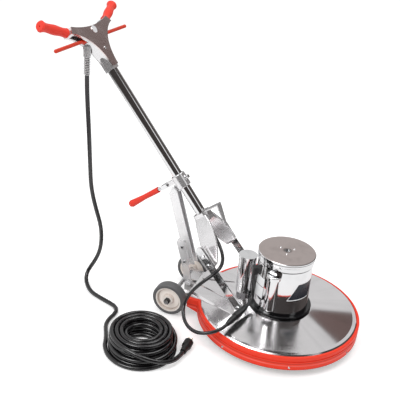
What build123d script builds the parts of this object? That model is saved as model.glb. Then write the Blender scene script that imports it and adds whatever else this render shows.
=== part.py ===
from build123d import *
import os
from math import atan2, cos, degrees, hypot, pi, radians, sin, sqrt, tan

# A walk-behind floor burnisher: a round deck with an upright motor, a polishing
# pad turned straight by the motor shaft, two wheels behind and a leaning handle.
# Millimetres and degrees. +X is forward, +Y is the machine's left, +Z is up.
# The origin is on the floor, on the axis of the motor shaft.

os.makedirs("parts", exist_ok=True)

# Clearances
running_gap = 0.08      # a shaft or sleeve in its bore, on the radius
side_gap = 0.4          # faces that move past each other
seat_gap = 0.2          # curved faces that are fixed together
open_pivot_gap = 6.5    # on the radius, at the one pivot of the brace left open

# Pad and its driver
pad_radius = 254.0
pad_thickness = 25.0
pad_hole_radius = 45.0
pad_skin = 6.0
driver_radius = pad_radius - 8
driver_thickness = 14.0
driver_boss_radius = 62.0
pad_lock_radius = 43.0
pad_lock_lip = 4.0

# Deck: its round part follows the pad, and its tail reaches behind that
bumper_radius = pad_radius + 46
bumper_thickness = 9.0
bumper_bottom = 27.0
bumper_top = 79.0
bumper_round = 3.0
groove_depth = 2.2
groove_height = 4.0
groove_drop = 14.0
rivet_head_radius = 4.0
rivet_head_height = 1.6
rivet_shank = 2.0
rivet_angles = (20.0, 67.0, 114.0)
rivet_rise = 12.0
deck_wall = 5.0
skirt_bottom = 31.0
rim_height = 82.0
rim_chamfer = 5.0
cone_foot_radius = bumper_radius - 26
motor_seat_radius = 120.0
motor_seat_height = 98.0
motor_seat_thickness = 10.0
shaft_opening_radius = 60.0
tail_half_width = 112.0
tail_rear = -(bumper_radius + 22)
tail_corner = 12.0
tail_lift = 14.0
plateau_top = 91.0
plateau_base = 78.0
plateau_draft = 30.0
plateau_rear_half_width = 84.0
plateau_front_half_width = 172.0
plateau_front = -92.0
rib_rise = 3.0
rib_width = 7.0
rib_rear = (tail_rear + 9, 20.0)
rib_front = (-192.0, 58.0)

# Motor
base_ring_height = 11.0
base_ring_round = 3.0
base_ring_undercut = 6.0
bell_radius = motor_seat_radius - 21
bell_thickness = 12.0
spigot_depth = 6.0
shell_foot_radius = motor_seat_radius - 17
shell_head_radius = shell_foot_radius - 5
shell_wall = 4.0
shell_head = 296.0
cap_radius = shell_foot_radius + 0.6
cap_top = 319.0
cap_wall = 4.0
cap_skirt_drop = 10.0
cap_lip_height = 16.0
cap_lip_step = 2.0
cap_hole_radius = 11.0
cap_screw_circle = 28.0
cap_screw_start = 160.0
cap_screw_radius = 4.2
cap_screw_height = 2.4
cap_screw_shank = 2.5
band_screw_radius = 6.0
band_screw_height = 2.5
band_screw_angles = (245.0, 271.0)
bearing_outer = 26.0
bearing_inner = 12.5
bearing_width = 15.0
bearing_boss_wall = 6.0
stator_outer = shell_head_radius - 5
stator_inner = 61.0
stator_bottom = 134.0
stator_top = 226.0
winding_rise = 14.0
winding_inset = 6.0
air_gap = 1.0
fan_radius = shell_head_radius - 14
fan_disc = 3.0
fan_bottom = 254.0
fan_height = 18.0
fan_hub_radius = 22.0
fan_blades = 10
fan_blade_thickness = 2.5
shaft_bottom = 46.0
drive_hub_radius = 34.0
drive_flange_radius = 52.0
drive_flange = 8.0
mount_bolt_circle = bell_radius - 19
mount_bolt_radius = 4.0
mount_bolt_head = 6.5
mount_bolt_count = 4

# Capacitor covers
side_cover_radius = 22.0
side_cover_angle = 263.5
side_cover_reach = shell_foot_radius + 6
side_cover_bottom = 130.0
side_cover_top = 273.0
side_lid_height = 14.0
side_lid_step = 5.0
side_lid_round = 4.0
rear_cover_radius = 33.0
rear_cover_reach = shell_foot_radius + 36
rear_cover_bottom = 110.0
rear_cover_top = 262.0
rear_lid_height = 10.0
rear_lid_step = 1.5
cover_wall = 2.5
capacitor_gap = 1.5
side_capacitor_radius = 16.0
side_capacitor_length = 95.0
rear_capacitor_length = 110.0
saddle_width = 24.0
saddle_height = 90.0
rear_foot_width = 34.0
foot_shift = 6.0

# Wheels and carriage, behind the deck's tail
axle_x = tail_rear - 66
wheel_radius = 63.5
wheel_width = 38.0
wheel_outer_face = 140.0
tyre_depth = 13.0
tyre_round = 8.0
hub_web = 14.0
hub_rim = 6.0
hub_boss_radius = 19.0
axle_radius = 8.0
axle_end = 158.0
axle_nut_radius = 12.0
axle_nut_length = 12.0
carriage_half_width = 86.0
carriage_plate = 8.0
cheek_thickness = 16.0
axle_boss_radius = 20.0
carriage_bottom = 38.0
carriage_top = 80.0
carriage_bolt_radius = 4.0
carriage_bolt_head = 7.0
carriage_bolt_spacing = (110.0, 26.0)

# Handle lean and pivot
lean = 39.0
pivot_x = -121.5
pivot_z = 107.0
tube_offset = 5.0
tube_radius = 19.0
tube_wall = 2.5
link_face = 118.5
link_thickness = 6.0
link_half_width = 13.0
link_top = 252.0
link_bolt_rise = (226.0, 188.0)
link_bolt_radius = 5.0
bolt_head_radius = 8.0
bolt_head_height = 6.5
lug_thickness = 10.0
lug_half_width = 14.0
pivot_bolt_radius = 5.0

# Yoke
socket_bottom = 316.0
socket_top = socket_bottom + 36
tube_start = socket_bottom + 6
socket_half_width = 27.0
leg_thickness = 8.0
leg_front = (24.0, 34.0, 6.0)
leg_back = (-24.0, -40.0, -38.0)
leg_rise = (socket_bottom + 24, 256.0, 176.0)
leg_spread = (22.0, 58.0, 102.0)
foot_depth = 22.0
foot_top = 256.0
foot_bottom = 172.0
foot_round = 12.0
yoke_web = 7.0
web_bottom = 258.0
hook_width = 34.0
hook_thickness = 4.0
hook_reach = 84.0
hook_drop = 88.0
hook_lean = 20.0
hook_tip = 6.0

# Head of the handle, in the leaning plane: across, along, and square to it.
# Its places along the tube follow the height of the lever pins.
lever_rise = 1080.0
tube_end = lever_rise - 28
head_back = -20.0
head_front = 19.6
head_wall = 5.0
plate_thickness = 3.5
arm_upper = (121.0, lever_rise + 54)
arm_lower = (139.0, lever_rise + 31)
upper_dip = lever_rise + 37
waist = (45.0, lever_rise - 34)
tail_corner_point = (20.0, lever_rise - 118)
tail_socket_radius = 26.0
tail_socket_start = lever_rise - 128
tail_socket_end = lever_rise - 24
badge_rise = lever_rise + 22
badge_radius = 15.0
badge_height = 2.0
head_screw_rise = lever_rise - 50
head_screw_radius = 5.5
head_screw_height = 2.8
grip_plane = 2.0
grip_root = (135.5, lever_rise + 44.5)
grip_end = (246.0, lever_rise + 92)
grip_core_radius = 11.0
grip_radius = 17.0
grip_waist = 15.0
grip_flare = 19.5
grip_hole_radius = 2.5
switch_size = (46.0, 30.0, 26.0)
switch_rise = lever_rise - 3

# Switch levers
lever_plane = 2.0
lever_pivot = 62.0
lever_end = 248.0
lever_radius = 6.5
lever_squeeze = 12.0
lever_pin_radius = 4.0
lever_eye_radius = 10.0
lever_eye_height = 16.0

# Collar, clamp lever and brace
collar_bottom = 464.0
collar_top = collar_bottom + 52
collar_radius = 26.5
brace_pin_rise = collar_bottom + 6
brace_pin_back = -37.0
brace_pin_radius = 5.0
brace_lug_half = 9.0
clamp_pin_rise = collar_bottom + 34
clamp_pin_back = -62.0
clamp_pin_radius = 4.0
clamp_lug_half = 6.5
clamp_cheek = 5.5
clamp_rod_radius = 7.0
clamp_rod_start = -84.0
clamp_grip_start = -104.0
clamp_grip_end = -246.0
clamp_grip_radius = 11.0
clamp_grip_flare = 14.0
clamp_nut_radius = 8.0
clamp_nut_height = 9.0
channel_half_width = 16.0
channel_depth = 36.0
channel_wall = 3.5
channel_top_cut = 8.0
channel_foot = (tail_rear - 25, 164.0)
ear_reach = 34.0
ear_top = 258.0
brace_bar_width = 28.0
brace_bar_thickness = 6.0
brace_bar_top = (tail_rear - 72, 244.0)
brace_foot = (tail_rear - 35, 86.0)
brace_foot_radius = 4.0
brace_ear = 6.0
brace_bolt_radius = 4.0
brace_bolt_head = 7.0
brace_bolt_rise = (232.0, 172.0)

# Power cord, its guard, coil and plug
cord_radius = 8.0
gland_across = -46.0
gland_seat_rise = lever_rise - 16.27
gland_seat_plane = -7.66
gland_length = 38.0
gland_radius = 13.0
gland_nut_radius = 17.0
gland_nut_height = 11.0
gland_seat = 6.0
guard_wire = 1.4
guard_radius = 10.4
guard_length = 64.0
guard_turns = 11
coil_centre = (-388.0, -362.0)
coil_inner_radius = 61.0
coil_layer_turns = (3.72, 3.03, 3.03, 2.78)
coil_pitch = 17.1
coil_layer_step = 16.8
coil_climb = 0.5
coil_swing = 1.75
coil_lean = (-0.145, 0.42)
coil_start_angle = 205.0
coil_tail_turns = 0.376
coil_tail_hold = 0.25
coil_tail_reach = 148.0
plug_rise = 17.5
plug_radius = 17.0
plug_length = 60.0
plug_pin_length = 21.0
plug_pin_size = (6.4, 1.6)
plug_pin_spacing = 12.7
earth_pin_radius = 2.4
coil_approach_run = 46.0
# the hanging run, forward and left of the gland, with the share of its height
cord_hanging_points = [
    (5.0, -2.0, 0.812),
    (15.0, -5.0, 0.682),
    (22.0, -6.0, 0.548),
    (27.0, -6.0, 0.447),
    (47.0, -4.0, 0.356),
    (73.0, -2.0, 0.268),
    (77.0, -6.0, 0.179),
    (61.0, -12.0, 0.112),
    (25.0, -42.0, 0.034),
]
cord_floor_points = [
    (-716.0, -148.0, cord_radius),
    (-654.0, -172.0, cord_radius),
    (-550.0, -200.0, cord_radius),
    (-564.0, -296.0, cord_radius),
]

# Motor lead and its connector
lead_radius = 6.5
lead_handle_points = [
    (0.0, 285.0, 0.0),
    (2.0, 246.0, -4.0),
    (-18.0, 200.0, 3.0),
    (-68.0, 168.0, 15.0),
]
lead_points = [
    (-206.0, -134.0, 244.0),
    (-250.0, -172.0, 206.0),
    (-288.0, -184.0, 156.0),
    (-304.0, -204.0, 108.0),
    (-282.0, -246.0, 80.0),
    (-240.0, -286.0, 78.0),
    (-190.0, -306.0, 90.0),
]
connector_approach = 42.0
connector_back = (-125.0, -236.0, 108.0)
connector_front = (-93.0, -122.0, 122.0)
connector_radius = 12.0
connector_end_radius = 8.0
connector_ring = 2.0
lead_end_leave = 44.0
lead_end_rise = 38.0
terminal_angle = 214.0
terminal_height = 246.0
terminal_bottom = 234.0
terminal_top = 258.0
terminal_depth = 22.0
terminal_width = 22.0
terminal_reach = shell_foot_radius + 9
terminal_radius = 8.5
terminal_nipple_bottom = 226.0

# Values worked out from the driving sizes
skirt_radius = bumper_radius - bumper_thickness - seat_gap
tail_wall_half_width = tail_half_width - bumper_thickness - seat_gap
driver_bottom = pad_thickness
driver_top = driver_bottom + driver_thickness
bell_bottom = motor_seat_height
bell_top = bell_bottom + bell_thickness
shell_foot = bell_top
axle_z = wheel_radius
wheel_inner_face = wheel_outer_face - wheel_width
lean_in = radians(lean)
up_tube = Vector(-sin(lean_in), 0, cos(lean_in))
off_tube = Vector(cos(lean_in), 0, sin(lean_in))
pivot = Vector(pivot_x, 0, pivot_z)
handle_origin = pivot + off_tube * tube_offset

# The leaning plane of the handle: x across to the left, y up the tube, z off its front.
handle = Plane(origin=handle_origin, x_dir=(0, 1, 0), z_dir=off_tube)
# The same seen from the machine's right: x off the tube's front, y up the tube.
handle_side = Plane(origin=handle_origin, x_dir=off_tube, z_dir=(0, -1, 0))


def across_tube(rise):
    """Plane square to the tube at a height along it: x to the left, y behind the tube."""
    return Plane(origin=handle_origin + up_tube * rise, x_dir=(0, 1, 0), z_dir=up_tube)


def on_handle(across, rise, front):
    """World point of a place in the handle's own plane."""
    return handle.from_local_coords(Vector(across, rise, front))


def biarc_wire(points, tangents):
    """Two tangent arcs between each pair of points, as one list of edges."""
    edges = []
    for start, end, leave, arrive in zip(points, points[1:], tangents, tangents[1:]):
        span = end - start
        turn = 2 * (1 - leave.dot(arrive))
        along = span.dot(leave + arrive)
        reach = span.dot(span) / (along + sqrt(along * along + turn * span.dot(span)))
        first = start + leave * reach
        second = end - arrive * reach
        middle = (first + second) * 0.5
        edges.append(TangentArc(start, middle, tangent=leave, mode=Mode.PRIVATE))
        edges.append(TangentArc(middle, end, tangent=second - first, mode=Mode.PRIVATE))
    return edges


def least_gap(points, near_steps, thickness):
    """Smallest free gap between stretches of a tube that are not neighbours along it."""
    least = 1e9
    for i, a in enumerate(points):
        for b in points[i + near_steps:]:
            least = min(least, (a - b).length)
    return least - thickness


def round_radii(points):
    """Largest tangent-arc radius at each corner of a route."""
    radii = []
    for before, corner, after in zip(points, points[1:], points[2:]):
        run_in = corner - before
        run_out = after - corner
        turn = radians(run_in.get_angle(run_out))
        radii.append(0.45 * min(run_in.length, run_out.length) / tan(turn / 2))
    return radii


def report_route(name, points, radius, solid):
    """Print the bend radii of a route and compare its solid with section times length."""
    radii = round_radii(points)
    length = sum((b - a).length for a, b in zip(points, points[1:]))
    for corner, bend in enumerate(radii, start=1):
        run_in = points[corner] - points[corner - 1]
        turn = radians(run_in.get_angle(points[corner + 1] - points[corner]))
        length -= bend * (2 * tan(turn / 2) - turn)
    print(name, "bend radii", [round(bend) for bend in radii], "length", round(length))
    print(name, "volume over section times length", round(solid.volume / (pi * radius**2 * length), 4))


# What is cut off under the tail: its lower edge rises towards the wheels.
tail_meeting = -sqrt(bumper_radius**2 - tail_half_width**2)
with BuildSketch(mode=Mode.PRIVATE) as tail_cut:
    Polygon(
        (tail_meeting, bumper_bottom),
        (tail_rear - 1, bumper_bottom),
        (tail_rear - 1, bumper_bottom + tail_lift),
        align=None,
    )
tail_wedge = tail_cut.sketch

# Deck hood: a shallow cone with a skirt, a flat raised plateau behind and a square tail.
with BuildPart() as deck_hood:
    with BuildSketch(Plane.XZ):
        with BuildLine():
            Polyline(
                (0, skirt_bottom),
                (skirt_radius, skirt_bottom),
                (skirt_radius, rim_height - rim_chamfer),
                (skirt_radius - rim_chamfer, rim_height),
                (cone_foot_radius, rim_height),
                (motor_seat_radius, motor_seat_height),
                (0, motor_seat_height),
                close=True,
            )
        make_face()
    revolve(axis=Axis.Z)
    with BuildSketch(Plane.XY.offset(skirt_bottom)):
        with Locations(((tail_rear - cone_foot_radius / 2) / 2, 0)):
            Rectangle(-tail_rear - cone_foot_radius / 2, 2 * tail_wall_half_width)
    extrude(amount=rim_height - skirt_bottom)
    with BuildSketch(Plane.XY.offset(plateau_base)):
        Polygon(
            (tail_rear, -plateau_rear_half_width),
            (plateau_front, -plateau_front_half_width),
            (plateau_front, plateau_front_half_width),
            (tail_rear, plateau_rear_half_width),
            align=None,
        )
    extrude(amount=plateau_top - plateau_base, taper=plateau_draft)
    for hand in (-1, 1):
        rib_run = (rib_front[0] - rib_rear[0], hand * (rib_front[1] - rib_rear[1]))
        rib_middle = ((rib_front[0] + rib_rear[0]) / 2, hand * (rib_front[1] + rib_rear[1]) / 2)
        rib_turn = degrees(atan2(rib_run[1], rib_run[0]))
        with BuildSketch(Plane.XY.offset(plateau_top)):
            with Locations(Location((*rib_middle, 0), (0, 0, rib_turn))):
                SlotOverall(hypot(*rib_run), rib_width)
        extrude(amount=rib_rise, taper=20)
    with BuildSketch(Plane.XZ):
        with BuildLine():
            Polyline(
                (0, skirt_bottom),
                (skirt_radius - deck_wall, skirt_bottom),
                (skirt_radius - deck_wall, rim_height - deck_wall - rim_chamfer),
                (skirt_radius - deck_wall - rim_chamfer, rim_height - deck_wall),
                (cone_foot_radius, rim_height - deck_wall),
                (motor_seat_radius, motor_seat_height - motor_seat_thickness),
                (0, motor_seat_height - motor_seat_thickness),
                close=True,
            )
        make_face()
    revolve(axis=Axis.Z, mode=Mode.SUBTRACT)
    with BuildSketch(Plane.XY.offset(skirt_bottom)):
        with Locations(((tail_rear - skirt_radius) / 2 + deck_wall / 4, 0)):
            Rectangle(
                -tail_rear - skirt_radius - 1.5 * deck_wall,
                2 * (tail_wall_half_width - deck_wall),
            )
    extrude(amount=plateau_base - deck_wall - skirt_bottom, mode=Mode.SUBTRACT)
    with BuildSketch(Plane.XY.offset(motor_seat_height)):
        Circle(shaft_opening_radius)
        with PolarLocations(mount_bolt_circle, mount_bolt_count, start_angle=45):
            Circle(mount_bolt_radius + seat_gap)
    extrude(amount=-motor_seat_thickness, mode=Mode.SUBTRACT)
    with BuildSketch(Plane.YZ.offset(tail_rear)):
        with Locations((0, (carriage_bottom + carriage_top) / 2)):
            with GridLocations(*carriage_bolt_spacing, 2, 2):
                Circle(carriage_bolt_radius + seat_gap)
    extrude(amount=deck_wall + 1, mode=Mode.SUBTRACT)
    with BuildSketch(Plane.XZ):
        add(tail_wedge)
    extrude(amount=tail_half_width, both=True, mode=Mode.SUBTRACT)
deck_hood.part.label = "deck_hood"
export_step(deck_hood.part, "parts/deck_hood.step")


# Places of the bumper rivets, alike on both sides.
rivet_planes = []
for rivet_angle in rivet_angles:
    for hand in (-1, 1):
        rivet_out = Vector(1, 0, 0).rotate(Axis.Z, hand * rivet_angle)
        rivet_height = Vector(0, 0, bumper_bottom + rivet_rise)
        rivet_planes.append(
            Plane(origin=rivet_out * (bumper_radius + seat_gap / 4) + rivet_height, z_dir=rivet_out)
        )

# Bumper: a strip round the skirt that turns back along the tail, with one groove.
with BuildPart() as bumper:
    with BuildSketch(Plane.XY.offset(bumper_bottom)):
        Circle(bumper_radius)
        with Locations(((tail_rear - bumper_radius / 2) / 2, 0)):
            Rectangle(-tail_rear - bumper_radius / 2, 2 * tail_half_width)
    extrude(amount=bumper_top - bumper_bottom)
    tail_corners = [
        edge for edge in bumper.edges().filter_by(Axis.Z) if abs(edge.center().X - tail_meeting) < 1
    ]
    fillet(tail_corners, tail_corner)
    outer_edges = (
        bumper.edges().group_by(Axis.Z)[0] + bumper.edges().group_by(Axis.Z)[-1]
    ).filter_by(lambda edge: edge.center().X > tail_rear + 0.5)
    fillet(outer_edges, bumper_round)
    with BuildSketch(Plane.XY.offset(bumper_bottom)):
        Circle(skirt_radius + seat_gap)
        with Locations((tail_rear - skirt_radius / 2, 0)):
            Rectangle(2 * -tail_rear, 2 * (tail_wall_half_width + seat_gap))
    extrude(amount=bumper_top - bumper_bottom, mode=Mode.SUBTRACT)
    with BuildSketch(Plane.XY.offset(bumper_top - groove_drop - groove_height)):
        Circle(bumper_radius + 1)
        Circle(bumper_radius - groove_depth, mode=Mode.SUBTRACT)
        with Locations((tail_rear, 0)):
            Rectangle(-tail_rear, 2 * (tail_half_width + tail_corner), mode=Mode.SUBTRACT)
    extrude(amount=groove_height, mode=Mode.SUBTRACT)
    for rivet_plane in rivet_planes:
        with BuildSketch(rivet_plane):
            Circle(rivet_shank + seat_gap / 2)
        extrude(amount=-2 * bumper_thickness, mode=Mode.SUBTRACT)
    with BuildSketch(Plane.XZ):
        add(tail_wedge)
    extrude(amount=tail_half_width + tail_corner, both=True, mode=Mode.SUBTRACT)
bumper.part.label = "bumper"
export_step(bumper.part, "parts/bumper.step")

# Bumper rivets: low round heads set in the lower half of the strip.
with BuildPart() as bumper_rivets:
    for rivet_plane in rivet_planes:
        with BuildSketch(rivet_plane):
            Circle(rivet_head_radius)
        extrude(amount=rivet_head_height, taper=30)
        with BuildSketch(rivet_plane):
            Circle(rivet_shank)
        extrude(amount=-bumper_thickness)
bumper_rivets.part.label = "bumper_rivets"
export_step(bumper_rivets.part, "parts/bumper_rivets.step")

# Black rubber ring under the motor.
with BuildPart() as motor_base_ring:
    with BuildSketch(Plane.XY.offset(motor_seat_height)):
        Circle(motor_seat_radius - base_ring_round)
        Circle(bell_radius + seat_gap, mode=Mode.SUBTRACT)
    extrude(amount=base_ring_height)
    top_edge = motor_base_ring.edges().group_by(Axis.Z)[-1].sort_by(SortBy.RADIUS)[-1]
    fillet(top_edge, base_ring_round)
    foot_edge = motor_base_ring.edges().group_by(Axis.Z)[0].sort_by(SortBy.RADIUS)[-1]
    chamfer(foot_edge, base_ring_undercut)
motor_base_ring.part.label = "motor_base_ring"
export_step(motor_base_ring.part, "parts/motor_base_ring.step")

# Lower end bell: the motor's floor, with the lower bearing seat.
lower_bearing_bottom = bell_top - bearing_width / 2
with BuildPart() as lower_end_bell:
    with BuildSketch(Plane.XY.offset(bell_bottom)):
        Circle(bell_radius)
    extrude(amount=bell_thickness)
    with BuildSketch(Plane.XY.offset(bell_bottom - spigot_depth)):
        Circle(shaft_opening_radius - seat_gap)
    extrude(amount=spigot_depth)
    with BuildSketch(Plane.XY.offset(bell_top)):
        Circle(bearing_outer + bearing_boss_wall)
    extrude(amount=bearing_width / 2)
    with BuildSketch(Plane.XY.offset(lower_bearing_bottom)):
        Circle(bearing_outer + seat_gap / 4)
    extrude(amount=bearing_width, mode=Mode.SUBTRACT)
    with BuildSketch(Plane.XY.offset(bell_bottom - spigot_depth)):
        Circle(bearing_inner + bearing_boss_wall)
    extrude(amount=bell_thickness, mode=Mode.SUBTRACT)
    with BuildSketch(Plane.XY.offset(bell_bottom)):
        with PolarLocations(mount_bolt_circle, mount_bolt_count, start_angle=45):
            Circle(mount_bolt_radius + seat_gap)
    extrude(amount=bell_thickness * 0.75, mode=Mode.SUBTRACT)
lower_end_bell.part.label = "lower_end_bell"
export_step(lower_end_bell.part, "parts/lower_end_bell.step")

# Motor shell: a polished tube, slightly wider at its foot, with a hole for the lead.
terminal_out = Vector(1, 0, 0).rotate(Axis.Z, terminal_angle)
shell_slope = (shell_head_radius - shell_foot_radius) / (shell_head - shell_foot)
terminal_face = shell_foot_radius + shell_slope * (terminal_height - shell_foot)
terminal_plane = Plane(
    origin=terminal_out * terminal_face + Vector(0, 0, terminal_height), z_dir=terminal_out
)
with BuildPart() as motor_shell:
    with BuildSketch(Plane.XZ):
        with BuildLine():
            Polyline(
                (shell_foot_radius - shell_wall, shell_foot),
                (shell_foot_radius, shell_foot),
                (shell_head_radius, shell_head),
                (shell_head_radius - shell_wall, shell_head),
                close=True,
            )
        make_face()
    revolve(axis=Axis.Z)
    with BuildSketch(terminal_plane.offset(-2 * shell_wall)):
        Circle(terminal_radius * 0.6)
    extrude(amount=4 * shell_wall, mode=Mode.SUBTRACT)
motor_shell.part.label = "motor_shell"
export_step(motor_shell.part, "parts/motor_shell.step")

# Motor cap: the upper end bell, with a lip, a skirt over the shell and a bearing seat.
upper_bearing_top = cap_top - cap_wall - 2
cap_skirt_bottom = shell_head - cap_skirt_drop
with BuildPart() as motor_cap:
    with BuildSketch(Plane.XZ):
        with BuildLine():
            Polyline(
                (0, cap_top),
                (cap_radius - cap_lip_step, cap_top),
                (cap_radius, cap_top - cap_lip_step),
                (cap_radius, cap_top - cap_lip_height),
                (cap_radius - cap_lip_step, cap_top - cap_lip_height - cap_lip_step),
                (cap_radius - cap_lip_step, cap_skirt_bottom),
                (shell_head_radius + seat_gap + 0.5, cap_skirt_bottom),
                (shell_head_radius + seat_gap + 0.5, shell_head),
                (shell_head_radius - shell_wall, shell_head),
                (shell_head_radius - shell_wall, cap_top - cap_wall),
                (0, cap_top - cap_wall),
                close=True,
            )
        make_face()
    revolve(axis=Axis.Z)
    with BuildSketch(Plane.XY.offset(cap_top - cap_wall)):
        Circle(bearing_outer + bearing_boss_wall)
    extrude(amount=-(bearing_width + 2))
    with BuildSketch(Plane.XY.offset(upper_bearing_top)):
        Circle(bearing_outer + seat_gap / 4)
    extrude(amount=-(bearing_width + 2), mode=Mode.SUBTRACT)
    with BuildSketch(Plane.XY.offset(cap_top)):
        Circle(cap_hole_radius)
        with PolarLocations(cap_screw_circle, 3, start_angle=cap_screw_start):
            Circle(cap_screw_shank + seat_gap)
    extrude(amount=-(cap_wall + 2), mode=Mode.SUBTRACT)
    for band_angle in band_screw_angles:
        band_out = Vector(1, 0, 0).rotate(Axis.Z, band_angle)
        band_plane = Plane(
            origin=band_out * (cap_radius - cap_lip_step)
            + Vector(0, 0, (cap_skirt_bottom + cap_top - cap_lip_height) / 2),
            z_dir=band_out,
        )
        with BuildSketch(band_plane.offset(-1)):
            Circle(band_screw_radius)
        extrude(amount=1 + band_screw_height, taper=15)
motor_cap.part.label = "motor_cap"
export_step(motor_cap.part, "parts/motor_cap.step")

# Three round-headed screws in the motor cap.
with BuildPart() as cap_screws:
    with BuildSketch(Plane.XY.offset(cap_top)):
        with PolarLocations(cap_screw_circle, 3, start_angle=cap_screw_start):
            Circle(cap_screw_radius)
    extrude(amount=cap_screw_height, taper=35)
    with BuildSketch(Plane.XY.offset(cap_top)):
        with PolarLocations(cap_screw_circle, 3, start_angle=cap_screw_start):
            Circle(cap_screw_shank)
    extrude(amount=-(cap_wall + 1))
cap_screws.part.label = "cap_screws"
export_step(cap_screws.part, "parts/cap_screws.step")

# Stator: the wound iron ring inside the shell.
with BuildPart() as stator:
    with BuildSketch(Plane.XY.offset(stator_bottom)):
        Circle(stator_outer)
        Circle(stator_inner, mode=Mode.SUBTRACT)
    extrude(amount=stator_top - stator_bottom)
    for winding_base, direction in ((stator_bottom, -1), (stator_top, 1)):
        with BuildSketch(Plane.XY.offset(winding_base)):
            Circle(stator_outer - winding_inset)
            Circle(stator_inner + winding_inset, mode=Mode.SUBTRACT)
        extrude(amount=direction * winding_rise)
stator.part.label = "stator"
export_step(stator.part, "parts/stator.step")

# Two ball bearings, each as one ring.
with BuildPart() as motor_bearings:
    for bearing_bottom in (lower_bearing_bottom, upper_bearing_top - bearing_width):
        with BuildSketch(Plane.XY.offset(bearing_bottom)):
            Circle(bearing_outer)
            Circle(bearing_inner + running_gap, mode=Mode.SUBTRACT)
        extrude(amount=bearing_width)
motor_bearings.part.label = "motor_bearings"
export_step(motor_bearings.part, "parts/motor_bearings.step")

# Bolts that hold the motor on the deck and the carriage on the tail.
with BuildPart() as deck_bolts:
    with BuildSketch(Plane.XY.offset(motor_seat_height - motor_seat_thickness)):
        with PolarLocations(mount_bolt_circle, mount_bolt_count, start_angle=45):
            RegularPolygon(mount_bolt_head, 6)
    extrude(amount=-mount_bolt_radius)
    with BuildSketch(Plane.XY.offset(motor_seat_height - motor_seat_thickness)):
        with PolarLocations(mount_bolt_circle, mount_bolt_count, start_angle=45):
            Circle(mount_bolt_radius)
    extrude(amount=motor_seat_thickness + bell_thickness / 2)
    carriage_bolt_middle = (carriage_bottom + carriage_top) / 2
    with BuildSketch(Plane.YZ.offset(tail_rear - carriage_plate - seat_gap)):
        with Locations((0, carriage_bolt_middle)):
            with GridLocations(*carriage_bolt_spacing, 2, 2):
                RegularPolygon(carriage_bolt_head, 6)
    extrude(amount=-carriage_bolt_radius)
    with BuildSketch(Plane.YZ.offset(tail_rear - carriage_plate - seat_gap)):
        with Locations((0, carriage_bolt_middle)):
            with GridLocations(*carriage_bolt_spacing, 2, 2):
                Circle(carriage_bolt_radius)
    extrude(amount=carriage_plate + deck_wall + seat_gap)
deck_bolts.part.label = "deck_bolts"
export_step(deck_bolts.part, "parts/deck_bolts.step")

# Capacitor covers: a tall half-round cover on the motor's side and a full can behind it.
side_cover_out = Vector(1, 0, 0).rotate(Axis.Z, side_cover_angle)
side_cover_centre = side_cover_out * side_cover_reach
rear_cover_centre = Vector(-rear_cover_reach, 0, 0)
with BuildPart() as capacitor_covers:
    with BuildSketch(Plane.XY.offset(side_cover_bottom)):
        with Locations(side_cover_centre):
            Circle(side_cover_radius)
    extrude(amount=side_cover_top - side_cover_bottom)
    bottom_edge = capacitor_covers.edges().group_by(Axis.Z)[0]
    fillet(bottom_edge, 2 * cover_wall)
    with BuildSketch(Plane.XY.offset(side_cover_top - side_lid_height)):
        with Locations(side_cover_centre):
            Circle(side_cover_radius + side_lid_step)
    extrude(amount=side_lid_height)
    lid_edge = capacitor_covers.edges().group_by(Axis.Z)[-1]
    fillet(lid_edge, side_lid_round)
    with BuildSketch(Plane.XY.offset(side_cover_bottom + cover_wall)):
        with Locations(side_cover_centre):
            Circle(side_cover_radius - cover_wall)
    extrude(amount=side_cover_top - side_cover_bottom - 2 * cover_wall, mode=Mode.SUBTRACT)
    with BuildSketch(Plane.XZ):
        with BuildLine():
            Polyline(
                (0, shell_foot),
                (shell_foot_radius + seat_gap, shell_foot),
                (shell_head_radius + 2 * seat_gap, cap_skirt_bottom - seat_gap),
                (cap_radius + seat_gap, cap_skirt_bottom - seat_gap),
                (cap_radius + seat_gap, cap_top),
                (0, cap_top),
                close=True,
            )
        make_face()
    revolve(axis=Axis.Z, mode=Mode.SUBTRACT)
    with BuildSketch(Plane.XY.offset(rear_cover_bottom)):
        with Locations(rear_cover_centre):
            Circle(rear_cover_radius)
            Circle(rear_cover_radius - cover_wall, mode=Mode.SUBTRACT)
    extrude(amount=rear_cover_top - rear_cover_bottom)
    with BuildSketch(Plane.XY.offset(rear_cover_top - rear_lid_height)):
        with Locations(rear_cover_centre):
            Circle(rear_cover_radius + rear_lid_step)
            Circle(rear_cover_radius - cover_wall, mode=Mode.SUBTRACT)
    extrude(amount=rear_lid_height)
    for end_height in (rear_cover_bottom, rear_cover_top - cover_wall):
        with BuildSketch(Plane.XY.offset(end_height)):
            with Locations(rear_cover_centre):
                Circle(rear_cover_radius - cover_wall / 2)
        extrude(amount=cover_wall)
capacitor_covers.part.label = "capacitor_covers"
export_step(capacitor_covers.part, "parts/capacitor_covers.step")

# The capacitors inside the two covers.
with BuildPart() as capacitors:
    with BuildSketch(Plane.XY.offset(side_cover_bottom + cover_wall)):
        with Locations(side_cover_out * (side_cover_reach + side_cover_radius - cover_wall
                                         - side_capacitor_radius / 2 - seat_gap)):
            Circle(side_capacitor_radius / 2)
    extrude(amount=side_capacitor_length)
    with BuildSketch(Plane.XY.offset(rear_cover_bottom + cover_wall)):
        with Locations(rear_cover_centre):
            Circle(rear_cover_radius - cover_wall - capacitor_gap)
    extrude(amount=rear_capacitor_length)
capacitors.part.label = "capacitors"
export_step(capacitors.part, "parts/capacitors.step")

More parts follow.
